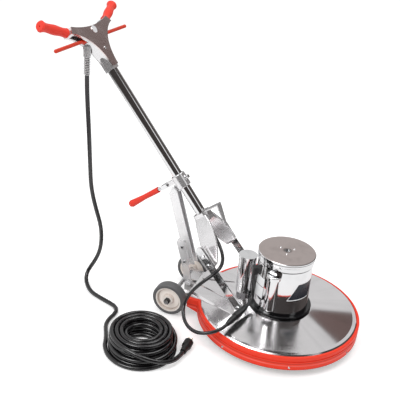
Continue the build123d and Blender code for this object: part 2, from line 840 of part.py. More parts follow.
# Bracket that carries the rear can: a saddle against the shell and a foot on the deck.
with BuildPart() as capacitor_bracket:
    with BuildSketch(Plane.XY.offset(rear_cover_bottom)):
        with Locations((-(shell_foot_radius + rear_cover_reach) / 2, 0)):
            Rectangle(rear_cover_reach - shell_foot_radius, saddle_width)
        with Locations(rear_cover_centre):
            Circle(rear_cover_radius + seat_gap, mode=Mode.SUBTRACT)
    extrude(amount=saddle_height)
    with BuildSketch(Plane.XZ):
        with BuildLine():
            Polyline(
                (0, shell_foot - base_ring_height),
                (shell_foot_radius + seat_gap, shell_foot - base_ring_height),
                (shell_foot_radius + seat_gap, shell_foot),
                (shell_head_radius + seat_gap, shell_head),
                (0, shell_head),
                close=True,
            )
        make_face()
    revolve(axis=Axis.Z, mode=Mode.SUBTRACT)
    with BuildSketch(Plane.XY.offset(plateau_base)):
        with Locations(rear_cover_centre + Vector(-foot_shift, 0, 0)):
            Rectangle(rear_foot_width, rear_foot_width)
    extrude(amount=rear_cover_bottom - plateau_base)
    with BuildSketch(Plane.XY.offset(plateau_base)):
        Circle(motor_seat_radius + seat_gap)
    extrude(amount=motor_seat_height + base_ring_height - plateau_base, mode=Mode.SUBTRACT)
    with BuildSketch(Plane.XZ):
        with BuildLine():
            Polyline(
                (0, 0),
                (cone_foot_radius, 0),
                (cone_foot_radius, rim_height),
                (motor_seat_radius, motor_seat_height),
                (0, motor_seat_height),
                close=True,
            )
        make_face()
    revolve(axis=Axis.Z, mode=Mode.SUBTRACT)
capacitor_bracket.part.label = "capacitor_bracket"
export_step(capacitor_bracket.part, "parts/capacitor_bracket.step")

# Terminal housing on the shell, with a nipple below it for the lead.
terminal_entry = terminal_out * terminal_reach + Vector(0, 0, terminal_nipple_bottom)
with BuildPart() as lead_gland:
    with BuildSketch(Plane(origin=(0, 0, terminal_bottom), x_dir=terminal_out, z_dir=(0, 0, 1))):
        with Locations((terminal_face + terminal_depth / 2 - shell_wall / 2, 0)):
            RectangleRounded(terminal_depth + shell_wall, terminal_width, 5)
    extrude(amount=terminal_top - terminal_bottom)
    with BuildSketch(Plane.XZ):
        with BuildLine():
            Polyline(
                (0, shell_foot),
                (shell_foot_radius + seat_gap, shell_foot),
                (shell_head_radius + seat_gap, shell_head),
                (0, shell_head),
                close=True,
            )
        make_face()
    revolve(axis=Axis.Z, mode=Mode.SUBTRACT)
    with BuildSketch(Plane.XY.offset(terminal_bottom)):
        with Locations(terminal_out * terminal_reach):
            Circle(terminal_radius)
    extrude(amount=terminal_nipple_bottom - terminal_bottom)
lead_gland.part.label = "lead_gland"
export_step(lead_gland.part, "parts/lead_gland.step")

# Motor shaft: turns in both bearings and carries the rotor, fan and drive hub.
with BuildPart() as motor_shaft:
    with BuildSketch(Plane.XY.offset(shaft_bottom)):
        Circle(bearing_inner)
    extrude(amount=upper_bearing_top - shaft_bottom)
motor_shaft.part.label = "motor_shaft"
export_step(motor_shaft.part, "parts/motor_shaft.step")

# Rotor: the iron cage that turns inside the stator.
with BuildPart() as rotor_core:
    with BuildSketch(Plane.XY.offset(stator_bottom)):
        Circle(stator_inner - air_gap)
        Circle(bearing_inner, mode=Mode.SUBTRACT)
    extrude(amount=stator_top - stator_bottom)
rotor_core.part.label = "rotor_core"
export_step(rotor_core.part, "parts/rotor_core.step")

# Cooling fan under the cap: a disc with straight blades.
with BuildPart() as cooling_fan:
    with BuildSketch(Plane.XY.offset(fan_bottom)):
        Circle(fan_radius)
    extrude(amount=fan_disc)
    with BuildSketch(Plane.XY.offset(fan_bottom)):
        Circle(fan_hub_radius)
    extrude(amount=fan_height)
    with BuildSketch(Plane.XY.offset(fan_bottom)):
        with PolarLocations((fan_radius + fan_hub_radius) / 2 - 3, fan_blades):
            Rectangle(fan_radius - fan_hub_radius, fan_blade_thickness)
    extrude(amount=fan_height)
    with BuildSketch(Plane.XY.offset(fan_bottom)):
        Circle(bearing_inner)
    extrude(amount=fan_height, mode=Mode.SUBTRACT)
cooling_fan.part.label = "cooling_fan"
export_step(cooling_fan.part, "parts/cooling_fan.step")

# Drive hub on the lower end of the shaft, with a flange on the pad driver.
with BuildPart() as drive_hub:
    with BuildSketch(Plane.XY.offset(driver_top)):
        Circle(drive_flange_radius)
    extrude(amount=drive_flange)
    with BuildSketch(Plane.XY.offset(driver_top)):
        Circle(drive_hub_radius)
    extrude(amount=motor_seat_height - motor_seat_thickness - driver_top)
    with BuildSketch(Plane.XY.offset(shaft_bottom)):
        Circle(bearing_inner)
    extrude(amount=motor_seat_height - shaft_bottom, mode=Mode.SUBTRACT)
drive_hub.part.label = "drive_hub"
export_step(drive_hub.part, "parts/drive_hub.step")

# Pad driver: a stiff disc whose lower face grips the pad.
with BuildPart() as pad_driver:
    with BuildSketch(Plane.XY.offset(driver_bottom)):
        Circle(driver_radius)
        Circle(pad_lock_radius - 2, mode=Mode.SUBTRACT)
    extrude(amount=driver_thickness)
    rim_edge = pad_driver.edges().group_by(Axis.Z)[-1].sort_by(SortBy.RADIUS)[-1]
    chamfer(rim_edge, driver_thickness / 3)
pad_driver.part.label = "pad_driver"
export_step(pad_driver.part, "parts/pad_driver.step")

# Polishing pad: a thick round pad with a recess in its upper face for the centre lock.
with BuildPart() as polishing_pad:
    with BuildSketch(Plane.XY):
        Circle(pad_radius)
    extrude(amount=pad_thickness)
    with BuildSketch(Plane.XY.offset(pad_skin)):
        Circle(pad_hole_radius)
    extrude(amount=pad_thickness - pad_skin, mode=Mode.SUBTRACT)
    pad_rims = polishing_pad.edges().filter_by(GeomType.CIRCLE)
    fillet([edge for edge in pad_rims if edge.radius > pad_hole_radius + 1], pad_thickness / 6)
polishing_pad.part.label = "polishing_pad"
export_step(polishing_pad.part, "parts/polishing_pad.step")

# Centre lock: a cup that presses into the driver and holds the pad's middle.
with BuildPart() as pad_lock:
    with BuildSketch(Plane.XY.offset(pad_skin + seat_gap)):
        Circle(pad_hole_radius - seat_gap)
    extrude(amount=pad_thickness - pad_skin - 2 * seat_gap)
    with BuildSketch(Plane.XY.offset(driver_bottom - seat_gap)):
        Circle(pad_lock_radius - 2 - seat_gap)
    extrude(amount=driver_thickness)
    with BuildSketch(Plane.XY.offset(pad_skin + seat_gap)):
        Circle(pad_hole_radius - pad_lock_lip - seat_gap)
    extrude(amount=(pad_thickness - pad_skin) / 2, mode=Mode.SUBTRACT)
pad_lock.part.label = "pad_lock"
export_step(pad_lock.part, "parts/pad_lock.step")

# Rear carriage: a bolted plate, two cheeks with axle bosses and an ear for the brace.
brace_bar_inside = channel_half_width + seat_gap
with BuildPart() as rear_carriage:
    with BuildSketch(Plane.YZ.offset(tail_rear - seat_gap)):
        with Locations((0, (carriage_bottom + carriage_top) / 2)):
            Rectangle(2 * carriage_half_width, carriage_top - carriage_bottom)
    extrude(amount=-carriage_plate)
    for hand in (-1, 1):
        cheek_face = Plane.XZ.offset(-hand * (carriage_half_width - cheek_thickness))
        with BuildSketch(cheek_face):
            with BuildLine():
                Polyline(
                    (tail_rear - seat_gap, carriage_top),
                    (tail_rear - seat_gap, carriage_bottom),
                    (axle_x, axle_z - axle_boss_radius),
                    (axle_x, axle_z + axle_boss_radius),
                    close=True,
                )
            make_face()
            with Locations((axle_x, axle_z)):
                Circle(axle_boss_radius)
        extrude(amount=-hand * cheek_thickness)
    ear_sketch = Plane.XZ.offset(brace_bar_inside - brace_ear - side_gap)
    with BuildSketch(ear_sketch):
        with BuildLine():
            Polyline(
                (tail_rear - seat_gap, carriage_top),
                (tail_rear - seat_gap, carriage_bottom),
                (brace_foot[0] - brace_bar_width / 2, carriage_bottom + carriage_plate),
                (brace_foot[0] - brace_bar_width / 2, brace_foot[1]),
                (brace_foot[0] + brace_bar_width / 2, brace_foot[1]),
                close=True,
            )
        make_face()
        with Locations(brace_foot):
            Circle(brace_bar_width / 2)
    extrude(amount=brace_ear)
    with BuildSketch(ear_sketch):
        with Locations(brace_foot):
            Circle(brace_foot_radius + seat_gap)
    extrude(amount=brace_ear, mode=Mode.SUBTRACT)
    with BuildSketch(Plane.XZ.offset(-carriage_half_width)):
        with Locations((axle_x, axle_z)):
            Circle(axle_radius + seat_gap)
    extrude(amount=2 * carriage_half_width, mode=Mode.SUBTRACT)
    with BuildSketch(Plane.YZ.offset(tail_rear)):
        with Locations((0, (carriage_bottom + carriage_top) / 2)):
            with GridLocations(*carriage_bolt_spacing, 2, 2):
                Circle(carriage_bolt_radius + seat_gap)
    extrude(amount=-(carriage_plate + 1), mode=Mode.SUBTRACT)
rear_carriage.part.label = "rear_carriage"
export_step(rear_carriage.part, "parts/rear_carriage.step")

# Axle through both wheels and the carriage.
with BuildPart() as axle:
    with BuildSketch(Plane.XZ.offset(-axle_end)):
        with Locations((axle_x, axle_z)):
            Circle(axle_radius)
    extrude(amount=2 * axle_end)
axle.part.label = "axle"
export_step(axle.part, "parts/axle.step")

# A nut on each end of the axle, over a short spacer inside each wheel.
with BuildPart() as axle_nuts:
    for hand in (-1, 1):
        with BuildSketch(Plane.XZ.offset(-hand * (wheel_outer_face + side_gap))):
            with Locations((axle_x, axle_z)):
                RegularPolygon(axle_nut_radius, 6)
                Circle(axle_radius, mode=Mode.SUBTRACT)
        extrude(amount=-hand * axle_nut_length)
        with BuildSketch(Plane.XZ.offset(-hand * carriage_half_width)):
            with Locations((axle_x, axle_z)):
                Circle(axle_nut_radius)
                Circle(axle_radius, mode=Mode.SUBTRACT)
        extrude(amount=-hand * (wheel_inner_face - side_gap - carriage_half_width))
axle_nuts.part.label = "axle_nuts"
export_step(axle_nuts.part, "parts/axle_nuts.step")

# Wheels: a grey tyre on a plastic hub with a rim, a sunk web and a boss.
hub_radius = wheel_radius - tyre_depth
for side, hand in (("right", -1), ("left", 1)):
    wheel_plane = Plane(
        origin=(axle_x, hand * wheel_inner_face, axle_z), x_dir=(1, 0, 0), z_dir=(0, hand, 0)
    )
    with BuildPart() as tyre:
        with BuildSketch(wheel_plane):
            Circle(wheel_radius)
        extrude(amount=wheel_width)
        fillet(tyre.edges().filter_by(GeomType.CIRCLE), tyre_round)
        with BuildSketch(wheel_plane):
            Circle(hub_radius + seat_gap / 2)
        extrude(amount=wheel_width, mode=Mode.SUBTRACT)
    tyre.part.label = side + "_tyre"
    export_step(tyre.part, "parts/" + side + "_tyre.step")
    with BuildPart() as hub:
        with BuildSketch(wheel_plane.offset(hub_rim / 2)):
            Circle(hub_radius)
        extrude(amount=wheel_width - hub_rim)
        for face_height, sink in ((wheel_width - hub_rim / 2, -1), (hub_rim / 2, 1)):
            with BuildSketch(wheel_plane.offset(face_height)):
                Circle(hub_radius - hub_rim)
            extrude(amount=sink * (wheel_width - hub_rim - hub_web) / 2, mode=Mode.SUBTRACT)
        with BuildSketch(wheel_plane):
            Circle(hub_boss_radius)
        extrude(amount=wheel_width)
        with BuildSketch(wheel_plane):
            Circle(axle_radius + running_gap)
        extrude(amount=wheel_width, mode=Mode.SUBTRACT)
    hub.part.label = side + "_hub"
    export_step(hub.part, "parts/" + side + "_hub.step")

# Handle tube.
with BuildPart() as handle_tube:
    with BuildSketch(across_tube(tube_start)):
        Circle(tube_radius)
        Circle(tube_radius - tube_wall, mode=Mode.SUBTRACT)
    extrude(amount=tube_end - tube_start)
handle_tube.part.label = "handle_tube"
export_step(handle_tube.part, "parts/handle_tube.step")

# Yoke: a socket for the tube that spreads into two legs with square feet.
with BuildPart() as yoke:
    for hand in (-1, 1):
        for rise, spread, front, back in zip(leg_rise, leg_spread, leg_front, leg_back):
            with BuildSketch(across_tube(rise)):
                with Locations((hand * spread, -(front + back) / 2)):
                    RectangleRounded(leg_thickness, front - back, leg_thickness * 0.45)
        loft()
        with BuildSketch(handle_side.offset(-hand * (link_face - foot_depth))):
            with Locations(((leg_front[2] + leg_back[2]) / 2, (foot_top + foot_bottom) / 2)):
                RectangleRounded(leg_front[2] - leg_back[2], foot_top - foot_bottom, foot_round)
        extrude(amount=-hand * foot_depth)
    with BuildSketch(across_tube(socket_bottom)):
        RectangleRounded(2 * socket_half_width, leg_front[0] - leg_back[0] + 6, 12)
    extrude(amount=socket_top - socket_bottom)
    with BuildSketch(handle.offset(leg_back[0])):
        Polygon(
            (-leg_spread[0], leg_rise[0]),
            (leg_spread[0], leg_rise[0]),
            (leg_spread[1], web_bottom),
            (leg_spread[1] * 0.4, web_bottom + (leg_rise[0] - web_bottom) * 0.45),
            (-leg_spread[1] * 0.4, web_bottom + (leg_rise[0] - web_bottom) * 0.45),
            (-leg_spread[1], web_bottom),
            align=None,
        )
    extrude(amount=yoke_web)
    with BuildSketch(across_tube(tube_start)):
        Circle(tube_radius + seat_gap / 2)
    extrude(amount=socket_top - tube_start + 1, mode=Mode.SUBTRACT)
    for rise in link_bolt_rise:
        for hand in (-1, 1):
            with BuildSketch(handle_side.offset(-hand * link_face)):
                with Locations(((leg_front[2] + leg_back[2]) / 2, rise)):
                    Circle(link_bolt_radius + seat_gap)
            extrude(amount=hand * (foot_depth - link_bolt_radius + 1), mode=Mode.SUBTRACT)
yoke.part.label = "yoke"
export_step(yoke.part, "parts/yoke.step")

# Side links: two flat bars from the yoke's feet down to the deck pivot.
link_top_front = (leg_front[2] + leg_back[2]) / 2
link_run = (link_top_front + tube_offset, link_top)
link_turn = degrees(atan2(link_run[1], link_run[0]))
link_length = hypot(*link_run)
with BuildPart() as side_links:
    for hand in (-1, 1):
        with BuildSketch(handle_side.offset(-hand * (link_face + seat_gap))):
            with Locations(Location((-tube_offset + link_run[0] / 2, link_run[1] / 2, 0),
                                    (0, 0, link_turn))):
                SlotCenterToCenter(link_length, 2 * link_half_width)
            with Locations((-tube_offset, 0)):
                Circle(pivot_bolt_radius + running_gap, mode=Mode.SUBTRACT)
            for rise in link_bolt_rise:
                with Locations((link_top_front, rise)):
                    Circle(link_bolt_radius + seat_gap, mode=Mode.SUBTRACT)
        extrude(amount=-hand * link_thickness)
side_links.part.label = "side_links"
export_step(side_links.part, "parts/side_links.step")

# Round-headed bolts that hold the links on the yoke's feet.
link_outside = link_face + seat_gap + link_thickness
with BuildPart() as link_bolts:
    for hand in (-1, 1):
        for rise in link_bolt_rise:
            with BuildSketch(handle_side.offset(-hand * link_outside)):
                with Locations((link_top_front, rise)):
                    Circle(bolt_head_radius)
            extrude(amount=-hand * bolt_head_height, taper=18)
            with BuildSketch(handle_side.offset(-hand * link_outside)):
                with Locations((link_top_front, rise)):
                    Circle(link_bolt_radius)
            extrude(amount=hand * (link_outside - link_face + foot_depth - link_bolt_radius))
link_bolts.part.label = "link_bolts"
export_step(link_bolts.part, "parts/link_bolts.step")

# Pivot lugs on the deck, one inside each link.
lug_outside = link_face + seat_gap - side_gap
with BuildPart() as pivot_brackets:
    for hand in (-1, 1):
        lug_plane = Plane.XZ.offset(-hand * (lug_outside - lug_thickness))
        with BuildSketch(lug_plane):
            with Locations((pivot_x, pivot_z)):
                Circle(lug_half_width)
            with Locations((pivot_x, (pivot_z + motor_seat_height - motor_seat_thickness) / 2)):
                Rectangle(2 * lug_half_width, pivot_z - motor_seat_height + motor_seat_thickness)
            with Locations((pivot_x, pivot_z)):
                Circle(pivot_bolt_radius + seat_gap, mode=Mode.SUBTRACT)
        extrude(amount=-hand * lug_thickness)
    add(deck_hood.part, mode=Mode.SUBTRACT)
    with BuildSketch(Plane.XY):
        Rectangle(2 * bumper_radius, 2 * bumper_radius)
    extrude(amount=plateau_top, mode=Mode.SUBTRACT)
pivot_brackets.part.label = "pivot_brackets"
export_step(pivot_brackets.part, "parts/pivot_brackets.step")

# Pivot bolts: round heads outside the links, nuts inside the lugs.
pivot_head = link_outside + side_gap
with BuildPart() as pivot_bolts:
    for hand in (-1, 1):
        with BuildSketch(Plane.XZ.offset(-hand * pivot_head)):
            with Locations((pivot_x, pivot_z)):
                Circle(bolt_head_radius + 1)
        extrude(amount=-hand * bolt_head_height, taper=18)
        with BuildSketch(Plane.XZ.offset(-hand * pivot_head)):
            with Locations((pivot_x, pivot_z)):
                Circle(pivot_bolt_radius)
        extrude(amount=hand * (pivot_head - lug_outside + lug_thickness))
        with BuildSketch(Plane.XZ.offset(-hand * (lug_outside - lug_thickness))):
            with Locations((pivot_x, pivot_z)):
                RegularPolygon(bolt_head_radius, 6)
        extrude(amount=hand * bolt_head_height)
pivot_bolts.part.label = "pivot_bolts"
export_step(pivot_bolts.part, "parts/pivot_bolts.step")

# Cord hook: a bent strip on the front of the yoke's socket, pointing down.
hook_back = leg_front[0] + 3 + seat_gap
hook_root = socket_top - hook_thickness
with BuildPart() as cord_hook:
    with BuildSketch(handle_side.offset(-hook_width / 2)):
        with BuildLine():
            Polyline(
                (hook_back, socket_top),
                (hook_reach, socket_top),
                (hook_reach - hook_lean, socket_top - hook_drop),
                (hook_reach - hook_lean - hook_thickness, socket_top - hook_drop),
                (hook_reach - hook_thickness * 1.2, hook_root),
                (hook_back + hook_thickness, hook_root),
                (hook_back + hook_thickness, socket_bottom),
                (hook_back, socket_bottom),
                close=True,
            )
        make_face()
    extrude(amount=hook_width)
    with BuildSketch(handle.offset(hook_back)):
        for hand in (-1, 1):
            Polygon(
                (hand * (hook_width / 2 + 1), hook_root - 2 * hook_thickness),
                (hand * (hook_width / 2 + 1), socket_top - hook_drop - 1),
                (hand * hook_tip, socket_top - hook_drop - 1),
                align=None,
            )
    extrude(amount=hook_reach, mode=Mode.SUBTRACT)
    with BuildSketch(handle.offset(hook_back)):
        with Locations((0, (socket_top + socket_bottom) / 2)):
            Rectangle(hook_width, socket_top - socket_bottom)
    extrude(amount=hook_thickness)
cord_hook.part.label = "cord_hook"
export_step(cord_hook.part, "parts/cord_hook.step")


def head_outline(inset):
    """Three-pointed outline of the head with hollow sides, drawn smaller by an inset."""
    upper = (arm_upper[0] - inset, arm_upper[1] - inset)
    lower = (arm_lower[0] - inset * 1.4, arm_lower[1] + inset * 0.4)
    side_waist = (waist[0] - inset, waist[1])
    tail = (tail_corner_point[0] - inset, tail_corner_point[1] + inset)
    with BuildSketch() as outline:
        with BuildLine():
            ThreePointArc((-upper[0], upper[1]), (0, upper_dip - inset), upper)
            Line(upper, lower)
            ThreePointArc(lower, side_waist, tail)
            Line(tail, (-tail[0], tail[1]))
            ThreePointArc((-tail[0], tail[1]), (-side_waist[0], waist[1]), (-lower[0], lower[1]))
            Line((-lower[0], lower[1]), (-upper[0], upper[1]))
        make_face()
    return outline.sketch


grip_run = Vector(grip_end[0] - grip_root[0], grip_end[1] - grip_root[1], 0)
grip_length = grip_run.length
gland_point = on_handle(gland_across, gland_seat_rise, gland_seat_plane)
gland_x = gland_point.X
gland_top = gland_point.Z
gland_bottom = gland_top - gland_length


def grip_plane_for(hand):
    """Plane at a grip's root whose z axis runs out along the grip."""
    root = on_handle(hand * grip_root[0], grip_root[1], grip_plane)
    end = on_handle(hand * grip_end[0], grip_end[1], grip_plane)
    return Plane(origin=root, x_dir=off_tube, z_dir=end - root)


# Head casting: hollow, with a socket for the tube, a core in each grip and lever slots.
lever_slot_half = lever_radius + 3
lever_slot_end = arm_lower[0] + 2
lever_slot_top = (
    lever_rise + (lever_slot_end - lever_pivot) * tan(radians(lever_squeeze)) + lever_radius + 3
)
with BuildPart() as head_body:
    with BuildSketch(handle.offset(head_back)):
        add(head_outline(0))
    extrude(amount=head_front - head_back)
    chamfer(head_body.faces().sort_by(Axis(handle_origin, off_tube))[0].edges(), head_wall - 1)
    with BuildSketch(across_tube(tail_socket_start)):
        Circle(tail_socket_radius)
    extrude(amount=tail_socket_end - tail_socket_start)
    with BuildSketch(handle.offset(head_front)):
        with Locations((0, (tail_socket_start + tail_socket_end) / 2)):
            Rectangle(3 * tail_socket_radius, 2 * (tail_socket_end - tail_socket_start))
    extrude(amount=tail_socket_radius, mode=Mode.SUBTRACT)
    with BuildSketch(handle.offset(head_back + head_wall)):
        add(head_outline(head_wall))
        with Locations((0, tail_socket_end + head_wall - arm_lower[0])):
            Rectangle(2 * arm_lower[0], 2 * arm_lower[0], mode=Mode.SUBTRACT)
    extrude(amount=head_front - head_back - head_wall, mode=Mode.SUBTRACT)
    with BuildSketch(across_tube(tail_socket_start)):
        Circle(tube_radius + seat_gap / 2)
    extrude(amount=tube_end - tail_socket_start, mode=Mode.SUBTRACT)
    with BuildSketch(Plane.XY.offset(gland_top)):
        with Locations((gland_x, gland_across)):
            Circle(gland_nut_radius)
    extrude(amount=gland_seat)
    with BuildSketch(Plane.XY.offset(gland_top)):
        with Locations((gland_x, gland_across)):
            Circle(gland_nut_radius + side_gap)
    extrude(amount=gland_bottom - gland_top, mode=Mode.SUBTRACT)
    with BuildSketch(Plane.XY.offset(gland_top)):
        with Locations((gland_x, gland_across)):
            Circle(cord_radius + 1)
    extrude(amount=gland_seat, mode=Mode.SUBTRACT)
    for hand in (-1, 1):
        with BuildSketch(grip_plane_for(hand).offset(-2 * head_wall)):
            Circle(grip_core_radius)
        extrude(amount=grip_length + head_wall)
        slot_plane = handle.offset(lever_plane - lever_slot_half)
        with BuildSketch(slot_plane):
            Polygon(
                (hand * (lever_pivot - lever_eye_radius - 1), lever_rise - lever_eye_radius - 1),
                (hand * lever_slot_end, lever_rise - lever_eye_radius - 1),
                (hand * lever_slot_end, lever_slot_top),
                (hand * (lever_pivot - lever_eye_radius - 1), lever_slot_top),
                align=None,
            )
        extrude(amount=2 * lever_slot_half, mode=Mode.SUBTRACT)
    with BuildSketch(handle.offset(head_back)):
        for hand in (-1, 1):
            with Locations((hand * lever_pivot, lever_rise)):
                Circle(lever_pin_radius)
    extrude(amount=head_front - head_back)
head_body.part.label = "head_body"
export_step(head_body.part, "parts/head_body.step")

# Head plate: the polished cover of the head, with a plain round badge.
with BuildPart() as head_plate:
    with BuildSketch(handle.offset(head_front)):
        add(head_outline(0))
    extrude(amount=plate_thickness)
    with BuildSketch(handle.offset(head_front + plate_thickness)):
        with Locations((0, badge_rise)):
            Circle(badge_radius)
    extrude(amount=badge_height, taper=25)
head_plate.part.label = "head_plate"
export_step(head_plate.part, "parts/head_plate.step")

# Round-headed screw on the head plate.
with BuildPart() as head_screw:
    with BuildSketch(handle.offset(head_front + plate_thickness)):
        with Locations((0, head_screw_rise)):
            Circle(head_screw_radius)
    extrude(amount=head_screw_height, taper=35)
head_screw.part.label = "head_screw"
export_step(head_screw.part, "parts/head_screw.step")

# Rubber grips: wavy sleeves with a flared end and a small hole in the end face.
with BuildPart() as handle_grips:
    for hand in (-1, 1):
        base = grip_plane_for(hand)
        with BuildSketch(Plane(origin=base.origin, x_dir=base.x_dir, z_dir=base.y_dir)):
            with BuildLine():
                Line((0, 0), (grip_radius, 0))
                Spline(
                    (grip_radius, 0),
                    (grip_waist, -grip_length * 0.22),
                    (grip_radius, -grip_length * 0.48),
                    (grip_waist, -grip_length * 0.78),
                    (grip_flare, -grip_length * 0.95),
                )
                Line((grip_flare, -grip_length * 0.95), (grip_flare - 4, -grip_length))
                Line((grip_flare - 4, -grip_length), (0, -grip_length))
                Line((0, -grip_length), (0, 0))
            make_face()
        revolve(axis=Axis(base.origin, base.z_dir))
        with BuildSketch(base):
            Circle(grip_core_radius + seat_gap)
        extrude(amount=grip_length - head_wall + seat_gap, mode=Mode.SUBTRACT)
        with BuildSketch(base):
            Circle(grip_hole_radius)
        extrude(amount=grip_length + 1, mode=Mode.SUBTRACT)
handle_grips.part.label = "handle_grips"
export_step(handle_grips.part, "parts/handle_grips.step")

# Switch inside the head.
with BuildPart() as switch_box:
    with BuildSketch(handle.offset(head_back + head_wall + seat_gap)):
        with Locations((0, switch_rise)):
            Rectangle(switch_size[0], switch_size[1])
    extrude(amount=switch_size[2])
switch_box.part.label = "switch_box"
export_step(switch_box.part, "parts/switch_box.step")

# Cord gland: a nut on the head and a narrower body below it.
with BuildPart() as cord_gland:
    with BuildSketch(Plane.XY.offset(gland_top - seat_gap)):
        with Locations((gland_x, gland_across)):
            RegularPolygon(gland_nut_radius, 6)
    extrude(amount=-gland_nut_height)
    with BuildSketch(Plane.XY.offset(gland_bottom)):
        with Locations((gland_x, gland_across)):
            Circle(gland_radius)
    extrude(amount=gland_top - gland_bottom - gland_nut_height)
    with BuildSketch(Plane.XY.offset(gland_bottom + gland_nut_height / 2)):
        with Locations((gland_x, gland_across)):
            RegularPolygon(gland_radius * 1.15, 6)
    extrude(amount=gland_nut_height * 0.7)
cord_gland.part.label = "cord_gland"
export_step(cord_gland.part, "parts/cord_gland.step")

# Spring guard: a wire wound round the top of the cord, its first curl held in the gland.
guard_start = gland_bottom + 2 * guard_wire
guard_steps = guard_turns * 4
guard_drop = (guard_length + 2 * guard_wire) / guard_steps
guard_points = []
guard_tangents = []
for step in range(guard_steps + 1):
    guard_turn = radians(90 * step)
    guard_points.append(
        Vector(
            gland_x + guard_radius * cos(guard_turn),
            gland_across + guard_radius * sin(guard_turn),
            guard_start - guard_drop * step,
        )
    )
    guard_tangents.append(
        Vector(-sin(guard_turn) * guard_radius, cos(guard_turn) * guard_radius,
               -guard_drop / (pi / 2)).normalized()
    )
with BuildPart() as spring_guard:
    with BuildLine() as guard_path:
        Line(guard_points[0] - guard_tangents[0] * 2 * guard_wire, guard_points[0])
        for arc in biarc_wire(guard_points, guard_tangents):
            add(arc)
        Line(guard_points[-1], guard_points[-1] + guard_tangents[-1] * 2 * guard_wire)
    with BuildSketch(Plane(origin=guard_path.line @ 0, z_dir=guard_path.line % 0)):
        Circle(guard_wire)
    sweep(path=guard_path.line)
spring_guard.part.label = "spring_guard"
export_step(spring_guard.part, "parts/spring_guard.step")
print("guard least gap", round(guard_drop * 4 - 2 * guard_wire, 2))

# Switch levers: red rods that turn on a pin in the head, up towards the grips.
for side, hand in (("right", -1), ("left", 1)):
    with BuildPart() as lever:
        lever_out = Vector(0, hand, 0)
        eye_place = (hand * lever_pivot, lever_rise)
        with BuildSketch(handle.offset(lever_plane - lever_eye_height / 2)):
            with Locations(eye_place):
                Circle(lever_eye_radius)
        extrude(amount=lever_eye_height)
        rod_start = on_handle(hand * lever_pivot, lever_rise, lever_plane)
        with BuildSketch(Plane(origin=rod_start, x_dir=off_tube, z_dir=lever_out)):
            Circle(lever_radius)
        extrude(amount=lever_end - lever_pivot)
        tip_edges = [
            edge
            for edge in lever.edges().filter_by(GeomType.CIRCLE)
            if abs(abs(edge.center().Y) - lever_end) < 0.1
        ]
        fillet(tip_edges, lever_radius * 0.7)
        with BuildSketch(handle.offset(lever_plane - lever_eye_height / 2)):
            with Locations(eye_place):
                Circle(lever_pin_radius + running_gap)
        extrude(amount=lever_eye_height, mode=Mode.SUBTRACT)
    lever.part.label = side + "_switch_lever"
    export_step(lever.part, "parts/" + side + "_switch_lever.step")

# Clamp collar: slides on the tube, with a lug for the brace and a lug for its lever.
with BuildPart() as clamp_collar:
    with BuildSketch(across_tube(collar_bottom)):
        Circle(collar_radius)
    extrude(amount=collar_top - collar_bottom)
    fillet(clamp_collar.edges().filter_by(GeomType.CIRCLE), 3)
    for pin_place, lug_half, lug_radius in (
        ((brace_pin_back, brace_pin_rise), brace_lug_half, brace_pin_radius + 6),
        ((clamp_pin_back, clamp_pin_rise), clamp_lug_half, clamp_pin_radius + 5),
    ):
        with BuildSketch(handle_side.offset(-lug_half)):
            with Locations(pin_place):
                Circle(lug_radius)
            with Locations((pin_place[0] / 2, pin_place[1])):
                Rectangle(-pin_place[0], 2 * lug_radius)
        extrude(amount=2 * lug_half)
        with BuildSketch(handle_side.offset(-lug_half)):
            with Locations(pin_place):
                Circle(clamp_pin_radius + seat_gap if pin_place[0] == clamp_pin_back
                       else brace_pin_radius + seat_gap)
        extrude(amount=2 * lug_half, mode=Mode.SUBTRACT)
    with BuildSketch(handle.offset(0)):
        with Locations((0, clamp_pin_rise - 6)):
            Circle(clamp_nut_radius + 3)
    extrude(amount=collar_radius + 1)
    with BuildSketch(across_tube(collar_bottom - brace_pin_radius - 6)):
        Circle(tube_radius + running_gap)
    extrude(amount=collar_top - collar_bottom + 20, mode=Mode.SUBTRACT)
clamp_collar.part.label = "clamp_collar"
export_step(clamp_collar.part, "parts/clamp_collar.step")

# Pins in the collar's lugs and the nut on its front.
brace_pin_half = channel_half_width + side_gap
clamp_pin_half = clamp_lug_half + side_gap + clamp_cheek + side_gap
with BuildPart() as collar_pins:
    for pin_place, pin_radius, pin_half in (
        ((brace_pin_back, brace_pin_rise), brace_pin_radius, brace_pin_half),
        ((clamp_pin_back, clamp_pin_rise), clamp_pin_radius, clamp_pin_half),
    ):
        with BuildSketch(handle_side.offset(-pin_half)):
            with Locations(pin_place):
                Circle(pin_radius)
        extrude(amount=2 * pin_half)
        for hand in (-1, 1):
            with BuildSketch(handle_side.offset(hand * pin_half)):
                with Locations(pin_place):
                    Circle(pin_radius + 3)
            extrude(amount=hand * 3)
    with BuildSketch(handle.offset(collar_radius + 1 + seat_gap)):
        with Locations((0, clamp_pin_rise - 6)):
            Circle(clamp_nut_radius)
    extrude(amount=clamp_nut_height, taper=10)
collar_pins.part.label = "collar_pins"
export_step(collar_pins.part, "parts/collar_pins.step")

